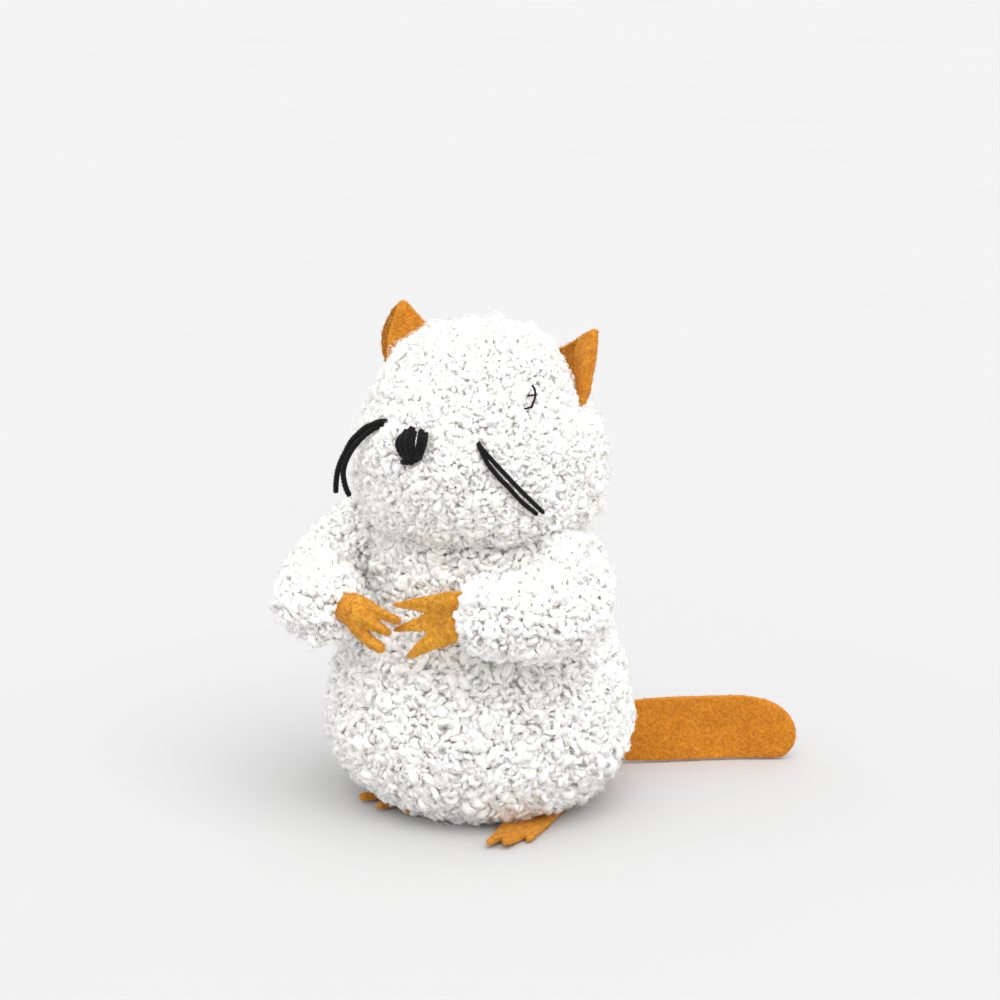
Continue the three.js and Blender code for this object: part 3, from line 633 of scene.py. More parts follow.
def curls(P, N, rng, size, steps, strand, rise=0.0, turns=(0.95, 1.75)):
    """Tight knobbly ringlets standing on the surface: paths (n, steps, 3) and radii (n, steps)."""
    n = len(P)
    ref = np.where(np.abs(N[:, 2:3]) < 0.9, [[0.0, 0, 1]], [[1.0, 0, 0]])
    t1 = unit(np.cross(N, ref))
    t2 = np.cross(N, t1)
    spin = rng.uniform(0, 2 * np.pi, n)[:, None]
    tx = t1 * np.cos(spin) + t2 * np.sin(spin)
    ty = np.cross(N, tx)
    u = np.linspace(0, 1, steps)[None]
    turn = rng.uniform(*turns, n)[:, None]
    th0 = rng.uniform(0, 2 * np.pi, n)[:, None]
    way = rng.choice([-1.0, 1.0], n)[:, None]
    th = th0 + way * 2 * np.pi * turn * u
    big = np.where(rng.random(n) < 0.16, rng.uniform(1.2, 1.5, n), rng.uniform(0.72, 1.12, n))[:, None]
    R0 = size * big * 0.75
    wob = rng.uniform(0, 2 * np.pi, n)[:, None]
    R = R0 * (0.7 + 0.3 * np.sin(np.pi * u)) * (1 + 0.14 * np.sin(2 * np.pi * u * 1.7 + wob))
    alpha = rng.uniform(-0.35, 1.3, n)[:, None]
    L = size * big * rng.uniform(0.7, 1.9, n)[:, None]
    axis = np.stack([np.cos(alpha) + 0 * u, 0 * u + 0 * alpha, np.sin(alpha) + 0 * u], -1)
    e1 = np.stack([-np.sin(alpha) + 0 * u, 0 * u + 0 * alpha, np.cos(alpha) + 0 * u], -1)
    e2 = np.array([0.0, 1.0, 0.0])
    lump = np.array([noise.noise(Vector(p) / 6.5) for p in P])[:, None]
    h0 = R0 * rng.uniform(0.4, 1.1, n)[:, None] + rise + size * 0.5 * lump
    local = axis * (L * (u - 0.5))[..., None] + e1 * (R * np.cos(th))[..., None] + e2 * (R * np.sin(th))[..., None]
    local[..., 2] += h0
    ends = np.clip(u / 0.12, 0, 1) * np.clip((1 - u) / 0.12, 0, 1)
    ends = ends * ends * (3 - 2 * ends)
    local[..., 2] = -0.6 * size * (1 - ends) + np.maximum(local[..., 2], 0.05) * ends
    world = P[:, None] + tx[:, None] * local[..., :1] + ty[:, None] * local[..., 1:2] + N[:, None] * local[..., 2:3]
    rad = strand * big * rng.uniform(0.75, 1.2, n)[:, None] * (0.6 + 0.4 * np.sin(np.pi * u) ** 0.7) * (1 + 0.13 * np.sin(2 * np.pi * (2.3 * u + th0)))
    return world, rad


def bundle(paths, radii, rng, count, steps, spread_out=1.0):
    """Fibres wound side by side along each lock, fraying at its ends: (n * count, steps, 3)."""
    n, s, _ = paths.shape
    at = np.linspace(0, s - 1, steps)
    i = np.clip(at.astype(int), 0, s - 2)
    f = (at - i)[None, :, None]
    base = paths[:, i] * (1 - f) + paths[:, i + 1] * f
    r = radii[:, i] * (1 - f[..., 0]) + radii[:, i + 1] * f[..., 0]
    tan = unit(np.gradient(base, axis=1))
    ref = np.where(np.abs(tan[:, 0, 2:3]) < 0.8, [[0.0, 0, 1]], [[1.0, 0, 0]])
    nor = unit(np.cross(tan[:, 0], ref))
    rows = [nor]
    for k in range(1, steps):
        nor = unit(nor - (nor * tan[:, k]).sum(-1, keepdims=True) * tan[:, k])
        rows.append(nor)
    A = np.stack(rows, 1)
    B = np.cross(tan, A)
    u = np.linspace(0, 1, steps)[None]
    fray = 1 + 0.5 * spread_out * (2 * u - 1) ** 4
    turn = rng.uniform(0.3, 1.1, n)[:, None] * rng.choice([-1, 1], n)[:, None]
    out = []
    for k in range(count):
        a = 2 * np.pi * (k / count + turn * u) + rng.uniform(-0.5, 0.5, n)[:, None]
        wave = 1 + 0.2 * np.sin(2 * np.pi * (u * rng.uniform(0.7, 2.2, n)[:, None] + rng.random(n)[:, None]))
        d = r * fray * wave * rng.uniform(0.72, 1.3, n)[:, None]
        out.append(base + A * (np.cos(a) * d)[..., None] + B * (np.sin(a) * d)[..., None])
    return np.concatenate(out)


def stray_fibres(P, N, rng, length, steps, rise):
    """Thin curved hairs that leave the pile and come back towards it."""
    n = len(P)
    ref = np.where(np.abs(N[:, 2:3]) < 0.9, [[0.0, 0, 1]], [[1.0, 0, 0]])
    t1 = unit(np.cross(N, ref))
    spin = rng.uniform(0, 2 * np.pi, n)[:, None]
    tx = t1 * np.cos(spin) + np.cross(N, t1) * np.sin(spin)
    ty = np.cross(N, tx)
    u = np.linspace(0, 1, steps)[None]
    L = length * rng.uniform(0.5, 1.3, n)[:, None]
    H = rise * rng.uniform(0.4, 1.2, n)[:, None]
    k1, k2, p1, p2 = (rng.uniform(a, b, n)[:, None] for a, b in ((0.6, 1.8), (0.6, 1.9), (0, 6.3), (0, 6.3)))
    x = L * (u - 0.2) * 0.7 + L * 0.22 * np.sin(2 * np.pi * k1 * u + p1)
    y = L * 0.26 * np.sin(2 * np.pi * k2 * u + p2)
    z = H * np.sin(np.pi * np.clip(u * 1.02, 0, 1)) ** 0.8 + 0.12 * L * np.sin(2 * np.pi * k2 * u + p1) * u
    z = z - 0.4
    return P[:, None] + tx[:, None] * x[..., None] + ty[:, None] * y[..., None] + N[:, None] * z[..., None]


# Places the pile leaves bare: the nose, the closed eyes and the cloth round the felt.
NOSE_AT = np.array([0.7, -36.0, 98.6])
EYE_ARCS = {
    "left": [(20.5, -12.2, 110.3), (21.2, -12.3, 109.6), (21.7, -12.7, 108.4), (21.9, -13.4, 107.4), (21.9, -14.1, 106.7), (22.0, -15.2, 105.6)],
}
EYE_ARCS["right"] = [(-x * 0.95, y * 0.95 - 0.4, z - 0.2) for x, y, z in EYE_ARCS["left"]]


FACE_YARN = [np.array(a, float) for a in (
    [(15, -28, 98), (20.4, -26.3, 91.7), (26.8, -18, 80.9)], [(-12, -29, 101), (-19, -26, 95), (-22, -24, 84)], [(0, -34, 102), (1, -34, 94)],
    [(20.5, -12.2, 110.3), (22, -15.2, 105.6)])]


EAR_ROOTS = [np.array(a, float) for a in ([(16.4, 7.9, 113.8), (25.2, 2.4, 101.6)], [(-16.6, 7.9, 114.6), (-25.6, 2.4, 103.6)])]


def clear_face(p):
    """How tall the pile may stand at a point of the head, 0 to 1."""
    d = (p - NOSE_AT) / np.array([4.6, 7.0, 5.6])
    k = np.clip((np.linalg.norm(d, axis=1) - 0.85) / 0.35, 0, 1)
    for s in ("left", "right"):
        arc = catmull(EYE_ARCS[s], 20)
        dist, _ = polyline_distance(p, arc)
        near = 2.3 if s == "left" else 0.5
        k = np.minimum(k, 0.2 + 0.8 * np.clip((dist - near) / 1.3, 0, 1))
    for line in FACE_YARN[:2]:
        k = np.minimum(k, 0.55 + 0.45 * np.clip((polyline_distance(p, line)[0] - 4.2) / 2.0, 0, 1))
    for root in ((15, -28, 98), (-12, -29, 101)):
        k = np.minimum(k, 0.3 + 0.7 * np.clip((np.linalg.norm(p - np.array(root), axis=1) - 2.0) / 1.5, 0, 1))
    for line in EAR_ROOTS:
        dist, _ = polyline_distance(p, line)
        k = np.minimum(k, 0.35 + 0.65 * np.clip((dist - 3.0) / 3.5, 0, 1))
    return k


def grow(grid, rng, gap, size, strand, rise, steps, allow, height=None):
    """One layer of locks on a surface."""
    P, N = grid.sample(int(7 * grid.A.sum() / (gap * gap)), rng)
    ok = allow(P, N)
    P, N = P[ok], N[ok]
    keep = spread(P, gap)
    P, N = P[keep], N[keep]
    paths, rad = curls(P, N, rng, size, steps, strand, rise)
    if height is not None:
        k = height(P)
        up = ((paths - P[:, None]) * N[:, None]).sum(-1, keepdims=True)
        paths = paths - N[:, None] * up * (1 - k)[:, None, None]
        alive = k > 0.04
        paths, rad, P, N = paths[alive], rad[alive], P[alive], N[alive]
    return paths, rad, P, N


def halo(paths, rng, count, offset, radius, steps):
    """Fine fibres that follow each lock a little way off it."""
    s = paths.shape[1]
    at = np.linspace(0, s - 1, steps)
    i = np.clip(at.astype(int), 0, s - 2)
    f = (at - i)[None, :, None]
    out = []
    for _ in range(count):
        base = paths[:, i] * (1 - f) + paths[:, i + 1] * f
        off = rng.normal(0, 1, (len(paths), 4, 3))
        knots = np.linspace(0, 3, steps)
        j = np.clip(knots.astype(int), 0, 2)
        g = (knots - j)[None, :, None]
        g = g * g * (3 - 2 * g)
        drift = off[:, j] * (1 - g) + off[:, j + 1] * g
        out.append(base + drift * offset)
    return np.concatenate(out)


def above_floor(paths, rad):
    low = 0.12 + rad
    paths[..., 2] = np.where(paths[..., 2] < low, low + (low - paths[..., 2]) * 0.12, paths[..., 2])
    return paths


def lay_pile(name, paths, rad, sides, body, mats, rng, weights, blend=None):
    """Splits a region's locks into pieces small enough to keep every face on export."""
    paths = above_floor(paths, rad)
    which = rng.choice(len(mats), len(paths), p=weights)
    per = max(1, int(180000 / ((paths.shape[1] - 1) * sides * 2 + 2 * (sides - 2))))
    parts = max(1, math.ceil(len(paths) / per))
    order = np.argsort(paths[:, 0, 2], kind="stable")
    made = []
    for i, idx in enumerate(np.array_split(order, parts)):
        ridged = sides >= 8
        ob = tubes(f"{name}_{i + 1}" if parts > 1 else name, paths[idx], rad[idx], sides, mats, which[idx], 0.07 * ridged, 1.5 * ridged, smooth=False)
        if blend:
            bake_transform(ob)
        else:
            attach(ob, body)
        made.append(ob)
    return made


def arm_clear(P, N, margin):
    """True where a torso point isn't buried in an arm."""
    ok = np.ones(len(P), bool)
    for s in ARMS:
        d, t = polyline_distance(P, arm_paths[s])
        ok &= d > arm_radius(t) - margin
    return ok


rng = np.random.default_rng(7)
W = [0.5, 0.22, 0.18, 0.10]
def under_chin(p):
    """Share of its height that an arm's pile keeps, so that the muzzle can pass over it as the head turns."""
    c = catmull(offset_curve(HEAD_CURVE, -SINK), 120)
    r = np.interp(p[:, 2], c[:, 1], c[:, 0], left=-50, right=-50)
    phi = np.maximum(np.arctan2(np.abs(p[:, 0]), -p[:, 1]) - math.radians(25), 0)
    room = np.hypot(p[:, 0], p[:, 1] / HEAD_DEPTH) - r - muzzle(phi, p[:, 2])
    return 0.3 + 0.7 * np.clip((room - 1.5) / 4.5, 0, 1)


def ground_pile(label, grid, body, blend, allow, height, under, over, fibre, panels, strays):
    """The pile of one stuffed piece: a low layer of single curls, and over it locks made of parallel fibres."""
    low, low_r, P, N = grow(grid, rng, *under, 9, allow, height)
    for name, inside in panels:
        k = inside(P)
        lay_pile(f"{label}_under{name}", low[k], low_r[k], 5, body, PILE, rng, W, blend)
    top, top_r, P, N = grow(grid, rng, *over, 11, allow, height)
    count, radius = fibre
    for name, inside in panels:
        k = inside(P)
        t, r = top[k], top_r[k]
        lay_pile(f"{label}_locks{name}", t, r * 0.74, 5, body, PILE, rng, W, blend)
        f = bundle(t, r * 0.95, rng, count, 8)
        lay_pile(f"{label}_fibres{name}", f, np.full(f.shape[:2], radius) * rng.uniform(0.7, 1.3, len(f))[:, None], 3, body, PILE, rng, W, blend)
    free = np.ones(len(P), bool)
    for line in FACE_YARN + EAR_ROOTS:
        free &= polyline_distance(P, line)[0] > 4.5
    h = halo(top[free], rng, 2, 0.95, 0.07, 8)
    lay_pile(label + "_haze", h, np.full(h.shape[:2], 0.045), 3, body, PILE[:2], rng, [0.6, 0.4], blend)
    k = rng.random(len(P)) < strays
    for line in FACE_YARN + EAR_ROOTS:
        k &= polyline_distance(P, line)[0] > 7.5
    st = stray_fibres(P[k], N[k], rng, 6.5, 12, 3.8)
    lay_pile(label + "_strays", st, np.full(st.shape[:2], 0.055) * rng.uniform(0.7, 1.3, len(st))[:, None], 3, body, PILE[1:2], rng, [1.0], blend)


ground_pile(
    "torso_pile", torso_grid, "torso", None, lambda P, N: (P[:, 2] < 76) & arm_clear(P, N, 0.8), None,
    (1.6, 0.98, 0.80, 0.7), (1.75, 1.42, 0.90, 0.7), (8, 0.10),
    [("_front", lambda P: P[:, 1] < SIDE_SEAM_Y), ("_back_left", lambda P: (P[:, 1] >= SIDE_SEAM_Y) & (P[:, 0] >= 0)),
     ("_back_right", lambda P: (P[:, 1] >= SIDE_SEAM_Y) & (P[:, 0] < 0))], 0.25)
ground_pile(
    "head_pile", head_grid, "head", None, lambda P, N: P[:, 2] > 72.2, clear_face,
    (1.4, 0.84, 0.65, 0.5), (1.45, 1.12, 0.69, 0.45), (6, 0.086),
    [("_front", lambda P: face_seam_side(P) < 0), ("_back", lambda P: face_seam_side(P) >= 0)], 0.5)
for s in ARMS:
    st, en = (tuple(v * MM) for v in SHOULDER[s])
    ground_pile(
        "arm_pile_" + s, arm_grids[s], None, ("torso", "arm_" + s, st, en), lambda P, N: inside_torso(P) > -3.0, under_chin,
        (1.55, 0.95, 0.76, 0.65), (1.7, 1.36, 0.86, 0.6), (7, 0.096), [("", lambda P: np.ones(len(P), bool))], 0.3)


# ------------------------------------------------------------------ felt
def slab(name, outline, thickness, origin, u, v):
    """A closed plate cut to an outline, like the CAD's, ready to be remeshed."""
    u = unit(u)
    n = unit(np.cross(u, v))
    v = np.cross(n, u)
    o = np.asarray(outline, float)
    flat = np.asarray(origin) + o[:, :1] * u + o[:, 1:] * v
    k = len(o)
    verts = np.vstack([flat - n * thickness / 2, flat + n * thickness / 2])
    sides = np.array([[i, (i + 1) % k, k + (i + 1) % k, k + i] for i in range(k)])
    caps = np.array([np.arange(k)[::-1], np.arange(k) + k])
    return new_mesh(name, verts, [sides, caps], []), u, v, n


def triangulate(ob):
    bm = bmesh.new()
    bm.from_mesh(ob.data)
    bmesh.ops.triangulate(bm, faces=bm.faces, ngon_method="EAR_CLIP")
    bmesh.ops.recalc_face_normals(bm, faces=bm.faces)
    bm.to_mesh(ob.data)
    bm.free()


def felted(ob, mat, voxel, seed, rough=0.10, wave=0.16):
    """Rounds the cut edges a little and gives the faces felt's uneven surface."""
    triangulate(ob)
    remeshed(ob, voxel, 2, 0.5)
    v, n = coords(ob), vertex_normals(ob)
    d = field(v, 0.75, seed) * rough + field(v, 4.5, seed + 5) * wave
    set_coords(ob, v + n * d[:, None])
    set_material(ob, mat)
    return ob


def felt_fuzz(ob, count, rng, length=1.5, mix=(0.5, 0.3, 0.2)):
    """Fibres lying on the felt and standing off its cut edges."""
    me = ob.data
    me.calc_loop_triangles()
    t = np.zeros(len(me.loop_triangles) * 3, np.int32)
    me.loop_triangles.foreach_get("vertices", t)
    t = t.reshape(-1, 3)
    v = coords(ob)
    tri = v[t]
    cr = np.cross(tri[:, 1] - tri[:, 0], tri[:, 2] - tri[:, 0])
    area = np.linalg.norm(cr, axis=1)
    k = rng.choice(len(t), count, p=area / area.sum())
    w = rng.dirichlet((1, 1, 1), count)
    P = (tri[k] * w[..., None]).sum(1)
    N = unit(cr[k])
    ref = np.where(np.abs(N[:, 2:3]) < 0.9, [[0.0, 0, 1]], [[1.0, 0, 0]])
    t1 = unit(np.cross(N, ref))
    spin = rng.uniform(0, 2 * np.pi, count)[:, None]
    tx = t1 * np.cos(spin) + np.cross(N, t1) * np.sin(spin)
    ty = np.cross(N, tx)
    u = np.linspace(0, 1, 6)[None]
    L = length * rng.uniform(0.5, 1.3, count)[:, None]
    lift = rng.exponential(0.10, count)[:, None]
    bend = rng.normal(0, 0.35, count)[:, None]
    x, y = L * (u - 0.5), L * bend * (u * u - u) * 2
    z = lift * np.sin(np.pi * u) ** 0.8 * (0.4 + u) + 0.01
    path = P[:, None] + tx[:, None] * x[..., None] + ty[:, None] * y[..., None] + N[:, None] * z[..., None]
    rad = np.full((count, 6), 0.045) * rng.uniform(0.6, 1.4, count)[:, None]
    rad[:, 0] *= 0.5
    rad[:, -1] *= 0.4
    path = above_floor(path, rad)
    fuzz = tubes(ob.name + "_fuzz", path, rad, 3, FELT_FIBRES, rng.choice(3, count, p=mix))
    return fuzz


FUZZ = 1700
rng = np.random.default_rng(91)

BACK = np.array([math.sin(math.radians(28)) * math.cos(math.radians(15)), -math.cos(math.radians(28)) * math.cos(math.radians(15)), math.sin(math.radians(15))])


def gauss(points, line, width):
    d, _ = polyline_distance(points, np.asarray(line, float))
    return np.exp(-((d / width) ** 2))


def plane_coords(ob, at, u, v):
    rel = coords(ob) - np.asarray(at)
    return np.stack([rel @ u, rel @ v], 1)


EARS = {
    "ear_left": dict(
        top=(16.4, 7.9, 113.8), low=(25.2, 2.4, 101.6), tip=(26.4, 10.3, 120.6),
        front=[(-1.0, 1.8), (-0.9, 6.7), (-1.0, 11.7), (0.0, 12.9), (2.8, 11.6), (6.55, 9.4), (9.7, 7.5), (13.3, 5.1), (15.0, 3.2), (15.5, 0.1),
               (17.3, -1.8), (14.2, -3.4), (6.6, -2.7), (-2.0, -1.7)],
        behind=[(-0.9, 1.7), (-0.6, 6.6), (-0.7, 11.3), (0.15, 12.0), (2.5, 10.8), (6.3, 8.7), (9.3, 6.7), (12.4, 4.4), (13.7, 2.6), (14.7, 0.2),
                (16.6, -2.1), (13.4, -3.7), (6.3, -3.2), (-1.9, -2.0)],
        relief=[(-3.0, 2.4, [(-2.5, 5.0), (6.0, 2.9), (15.7, -0.2)]), (1.7, 1.7, [(-1.2, 11.4), (4.6, 7.6), (10.0, 3.9), (16.2, -0.3)])]),
    "ear_right": dict(
        top=(-16.6, 7.9, 114.6), low=(-25.6, 2.4, 103.6), tip=(-27.4, 10.3, 123.6),
        front=[(-1.5, 13.1), (-0.9, 14.5), (0.9, 14.1), (4.1, 12.5), (7.4, 10.6), (9.8, 8.7), (12.3, 5.8), (14.6, 2.4), (16.0, -1.1), (11.2, -2.6),
               (1.6, -2.4), (-1.8, -1.9), (-1.1, 1.8)],
        behind=[(-1.25, 13.6), (-0.3, 14.8), (2.5, 14.9), (5.6, 14.1), (8.1, 12.9), (10.1, 11.0), (11.9, 8.5), (13.1, 6.0), (14.6, 3.1), (15.9, -0.5),
                (10.5, -1.8), (1.6, -1.7), (-1.4, -1.5), (-0.8, 3.3)],
        relief=[(2.0, 2.2, [(1.5, 13.6), (4.5, 12.2), (7.9, 10.2), (10.8, 7.4), (14.4, 2.7)]), (-0.8, 3.0, [(3, 2), (9, 3)])]),
}


def ear(name, top, low, tip, front, behind, relief, felt=1.15):
    """Two leaves of felt that meet along the edge from the crown to the tip and stand apart at the other."""
    top, low, tip = map(np.array, (top, low, tip))
    if "left" in name:  # this ear's back leaf hides behind the front one
        behind = [(a * 0.9, b * 0.72 if b > 0 else b) for a, b in behind]
    e, spine = unit(low - top), tip - top
    n = unit(np.cross(e, spine))
    leaf1, u, v, n = slab(name + "_felt", front, felt, top, e, spine)
    leaf2 = slab(name + "_leaf", behind, felt, top, e, spine)[0]
    for ob in (leaf1, leaf2):
        triangulate(ob)
        remeshed(ob, 0.27, 1, 0.4)
    ab = plane_coords(leaf1, top, u, v)
    rise = sum(k * gauss(ab, line, w) for k, w, line in relief)
    set_coords(leaf1, coords(leaf1) + BACK * rise[:, None])
    ab = plane_coords(leaf2, top, u, v)
    # the fold runs along a = 0, and the leaves part as they leave it
    part = (2.6 if "left" in name else 4.2) * (1 - np.exp(-np.clip(ab[:, 0] + 1.4, 0, None) / 2.6))
    set_coords(leaf2, coords(leaf2) - BACK * part[:, None])
    from_leaf = [coords(leaf1), coords(leaf2)]
    bm = bmesh.new()
    bm.from_mesh(leaf1.data)
    bm.from_mesh(leaf2.data)
    bm.to_mesh(leaf1.data)
    bm.free()
    bpy.data.objects.remove(leaf2)
    ob = leaf1
    remeshed(ob, 0.27, 1, 0.35)
    vv, nn = coords(ob), vertex_normals(ob)
    set_coords(ob, vv + nn * (field(vv, 0.6, 11) * 0.10 + field(vv, 4.0, 23) * 0.12)[:, None])
    set_material(ob, FELT["ears"])
    # Faces from the back leaf take the darkened ear felt: painted shade in the fold behind the front leaf.
    ob.data.materials.append(FELT["inner"])
    tree = KDTree(sum(len(c) for c in from_leaf))
    for i, c in enumerate(np.concatenate(from_leaf)):
        tree.insert(c, i)
    tree.balance()
    for poly in ob.data.polygons:
        poly.material_index = int(tree.find(poly.center / MM)[1] >= len(from_leaf[0]))
    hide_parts(name)
    fuzz = felt_fuzz(ob, FUZZ, rng)
    for o in (ob, fuzz):
        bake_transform(o)


for n, a in EARS.items():
    ear(n, **a)

HANDS = {
    "left": dict(at=(15.2, -38.8, 58.9), u=(-0.945, 0.1, -0.31), v=(0.31, 0.03, -0.95), outline=[
        (-3.0, -5.6), (0.5, -6.45), (5.9, -6.35), (12.8, -6.35), (17.6, -6.3), (17.7, -5.6), (15.7, -4.95), (12.6, -4.05), (8.6, -2.2),
        (12.6, -1.65), (16.8, -0.95), (19.9, -0.2), (19.9, 0.5), (17.9, 0.8), (13.6, 1.15), (10.0, 1.95), (12.5, 3.4), (15.6, 4.9),
        (18.4, 6.7), (18.3, 7.4), (17.0, 7.6), (12.8, 6.95), (7.7, 6.3), (1.2, 5.7), (-3.0, 5.4)]),
    "right": dict(at=(-14.6, -40, 56.4), u=(0.93, -0.2, -0.3), v=(-0.3, -0.25, -0.92), outline=[
        (-5.2, -1.3), (-3.0, -3.4), (-0.3, -4.9), (3.4, -5.3), (8.6, -5.25), (13.9, -5.6), (14.6, -4.9), (14.0, -4.0), (10.1, -2.95), (6.1, -2.5),
        (9.3, -2.25), (12.9, -1.75), (13.5, -1.1), (12.9, -0.35), (9.6, 0.6), (6.0, 1.2), (9.6, 1.8), (13.3, 2.2), (14.0, 3.1), (13.3, 4.2),
        (9.9, 4.65), (4.7, 4.05), (0.6, 2.75), (-3.2, 2.1)]),
}
for side, h in HANDS.items():
    ob, u, v, n = slab("hand_" + side + "_felt", h["outline"], 1.2, h["at"], h["u"], h["v"])
    triangulate(ob)
    remeshed(ob, 0.26, 1, 0.4)
    ab = plane_coords(ob, h["at"], u, v)
    c = coords(ob)
    a = ab[:, 0]
    if side == "left":
        # flat on the chest, the palm a little hollow and the fingertips turned up
        rise = 0.9 * gauss(ab, [(0, -3), (9, -4.6)], 2.0) + 0.8 * gauss(ab, [(2, 3), (12, 5.6)], 1.8) - 0.7 * gauss(ab, [(-2, 0), (7, 0)], 2.5)
        rise += 0.5 * np.sin(a * 0.55) + 0.010 * np.clip(a - 8, 0, None) ** 2
    else:
        # the back of the hand stands up and each finger bends down over its own knuckle
        rise = 3.4 * gauss(ab, [(-1, -0.8), (3.5, -0.6)], 3.6) + 0.9 * gauss(ab, [(5, -4.2), (13, -4.9)], 0.9)
        rise += 1.0 * gauss(ab, [(5, -0.6), (12, -1.1)], 0.9) + 0.9 * gauss(ab, [(5, 2.8), (12.5, 3.4)], 1.0)
        rise += -0.9 - 0.016 * np.clip(a - 5, 0, None) ** 2 - 0.25 * np.clip(-a - 2, 0, None) ** 2
    set_coords(ob, c + BACK * rise[:, None])
    vv, nn = coords(ob), vertex_normals(ob)
    set_coords(ob, vv + nn * (field(vv, 0.6, 31) * 0.10 + field(vv, 3.0, 37) * 0.14)[:, None])
    set_material(ob, FELT["paws"])
    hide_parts("hand_" + side)
    fuzz = felt_fuzz(ob, FUZZ, rng, 1.3)
    for o in (ob, fuzz):
        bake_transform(o)

FEET = {
    "left": dict(at=(19.5, -4, 0.85), u=(0.11, -0.994, 0), outline=[
        (-6.5, -4.4), (0, -4.8), (9, -4.6), (20, -3.8), (26, -3.3), (30.2, -2.8), (31.0, -2.1), (30.0, -1.3), (24.3, -0.1), (29.0, 0.9), (29.9, 1.7),
        (28.8, 2.5), (21.2, 3.8), (22.9, 4.7), (23.6, 5.4), (23.0, 6.0), (12, 6.1), (0, 5.8), (-6.5, 5.6)]),
    "right": dict(at=(-11, 0, 0.85), u=(-0.24, -0.97, 0), outline=[
        (-2, -5), (6, -5.6), (14, -7), (22.3, -8.1), (23.0, -7.1), (22.1, -6), (15, -2.4), (23.9, -0.2), (24.9, 0.7), (23.9, 1.5), (15.5, 3), (22.1, 7.7),
        (22.8, 8.8), (21.8, 9.3), (13, 7.2), (5, 6), (-2, 5)]),
}
for side, f in FEET.items():
    ob, u, v, n = slab("foot_" + side + "_felt", f["outline"], 1.3, f["at"], f["u"], np.cross([0, 0, 1.0], f["u"]))
    triangulate(ob)
    remeshed(ob, 0.27, 2, 0.5)
    c = coords(ob)
    rel = c - np.array(f["at"])
    a, b = rel @ u, rel @ v
    # the toes lift a little off the floor and the felt ripples
    lift = 0.0016 * np.clip(a - 6, 0, None) ** 2 * (1 + 0.35 * np.sin(b * 0.8 + 1.0)) + 0.12 * (1 + np.sin(a * 0.45))
    c[:, 2] += lift
    set_coords(ob, c)
    vv, nn = coords(ob), vertex_normals(ob)
    moved = vv + nn * (field(vv, 0.75, 41) * 0.08)[:, None]
    moved[:, 2] = np.maximum(moved[:, 2], 0.06)
    set_coords(ob, moved)
    set_material(ob, FELT["feet"])
    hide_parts("foot_" + side)
    fuzz = felt_fuzz(ob, FUZZ, rng, 1.3)
    for o in (ob, fuzz):
        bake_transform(o)

# Tail: a felt strip standing on its edge, with a slight twist and a slack lower edge.
TAIL_PATH = catmull([(-1.0, 33.2, 0), (3.2, 35.1, 0), (9.5, 35.8, 0), (16.5, 37.1, 0), (23.5, 40.4, 0), (31.5, 46, 0), (39.5, 51.6, 0), (48, 57, 0), (60.5, 64, 0)], 240)


def tail():
    long = np.linalg.norm(np.diff(TAIL_PATH, axis=0), axis=1).sum()
    felt, zc, root, half = 1.8, 9.0, 6.9, 8.4
    A, B = 130, 34
    e = np.linspace(0, 1, A)
    s = long * (1 - (1 - e) ** 1.3)
    at = np.interp(s / long, np.linspace(0, 1, 240), np.arange(240))
    ctr = np.stack([np.interp(at, np.arange(240), TAIL_PATH[:, k]) for k in range(3)], 1)
    tan = unit(np.gradient(ctr, axis=0))
    tan[-1] = tan[-2]
    nor = unit(np.stack([-tan[:, 1], tan[:, 0], 0 * tan[:, 0]], 1))
    body = root + (half - root) * np.clip(s / (0.45 * long), 0, 1)
    over = np.clip((s - (long - 17)) / 17, 0, 1)
    below = np.clip((s - (long - 5)) / 5, 0, 1)
    z_tip = 7.0
    z_low = zc - body
    verts = np.zeros((2, A, B, 3))
    zz = np.linspace(-1, 1, B)
    for c, y in enumerate((-0.5, 0.5)):
        for b, z in enumerate(zz):
            twist = 0.5 * z * np.sin(s / long * 2.4)
            bow = 0.45 * (1 - z * z) * np.sin(s * 0.16)
            p = ctr + nor * (y * felt + twist + bow)[:, None]
            level = z_tip + (zc + body - z_tip) * z if z > 0 else z_tip + (z_tip - z_low) * z
            p[:, 2] = z_tip + (level - z_tip) * np.maximum(np.sqrt(1 - (over if z > 0 else below) ** 2.2), 0.06)
            verts[c, :, b] = p
    idx = np.arange(2 * A * B).reshape(2, A, B)
    q = []
    for c in (0, 1):
        g = idx[c]
        f = np.stack([g[:-1, :-1], g[1:, :-1], g[1:, 1:], g[:-1, 1:]], -1).reshape(-1, 4)
        q.append(f if c else f[:, ::-1])
    rim = np.concatenate([idx[:, :, 0].T, idx[:, -1, 1:].T, idx[:, -2::-1, -1].T, idx[:, 0, -2:0:-1].T])
    nxt = np.roll(rim, -1, 0)
    q.append(np.stack([rim[:, 0], nxt[:, 0], nxt[:, 1], rim[:, 1]], -1))
    ob = new_mesh("tail_felt", verts.reshape(-1, 3), [np.concatenate(q)], [])
    felted(ob, FELT["tail"], 0.36, 53, 0.09, 0.12)
    v = coords(ob)
    v[:, 2] = np.maximum(v[:, 2], 0.06)
    set_coords(ob, v)
    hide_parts("tail")
    fuzz = felt_fuzz(ob, FUZZ, rng, 1.6, (0.7, 0.15, 0.15))
    for o in (ob, fuzz):
        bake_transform(o)


tail()


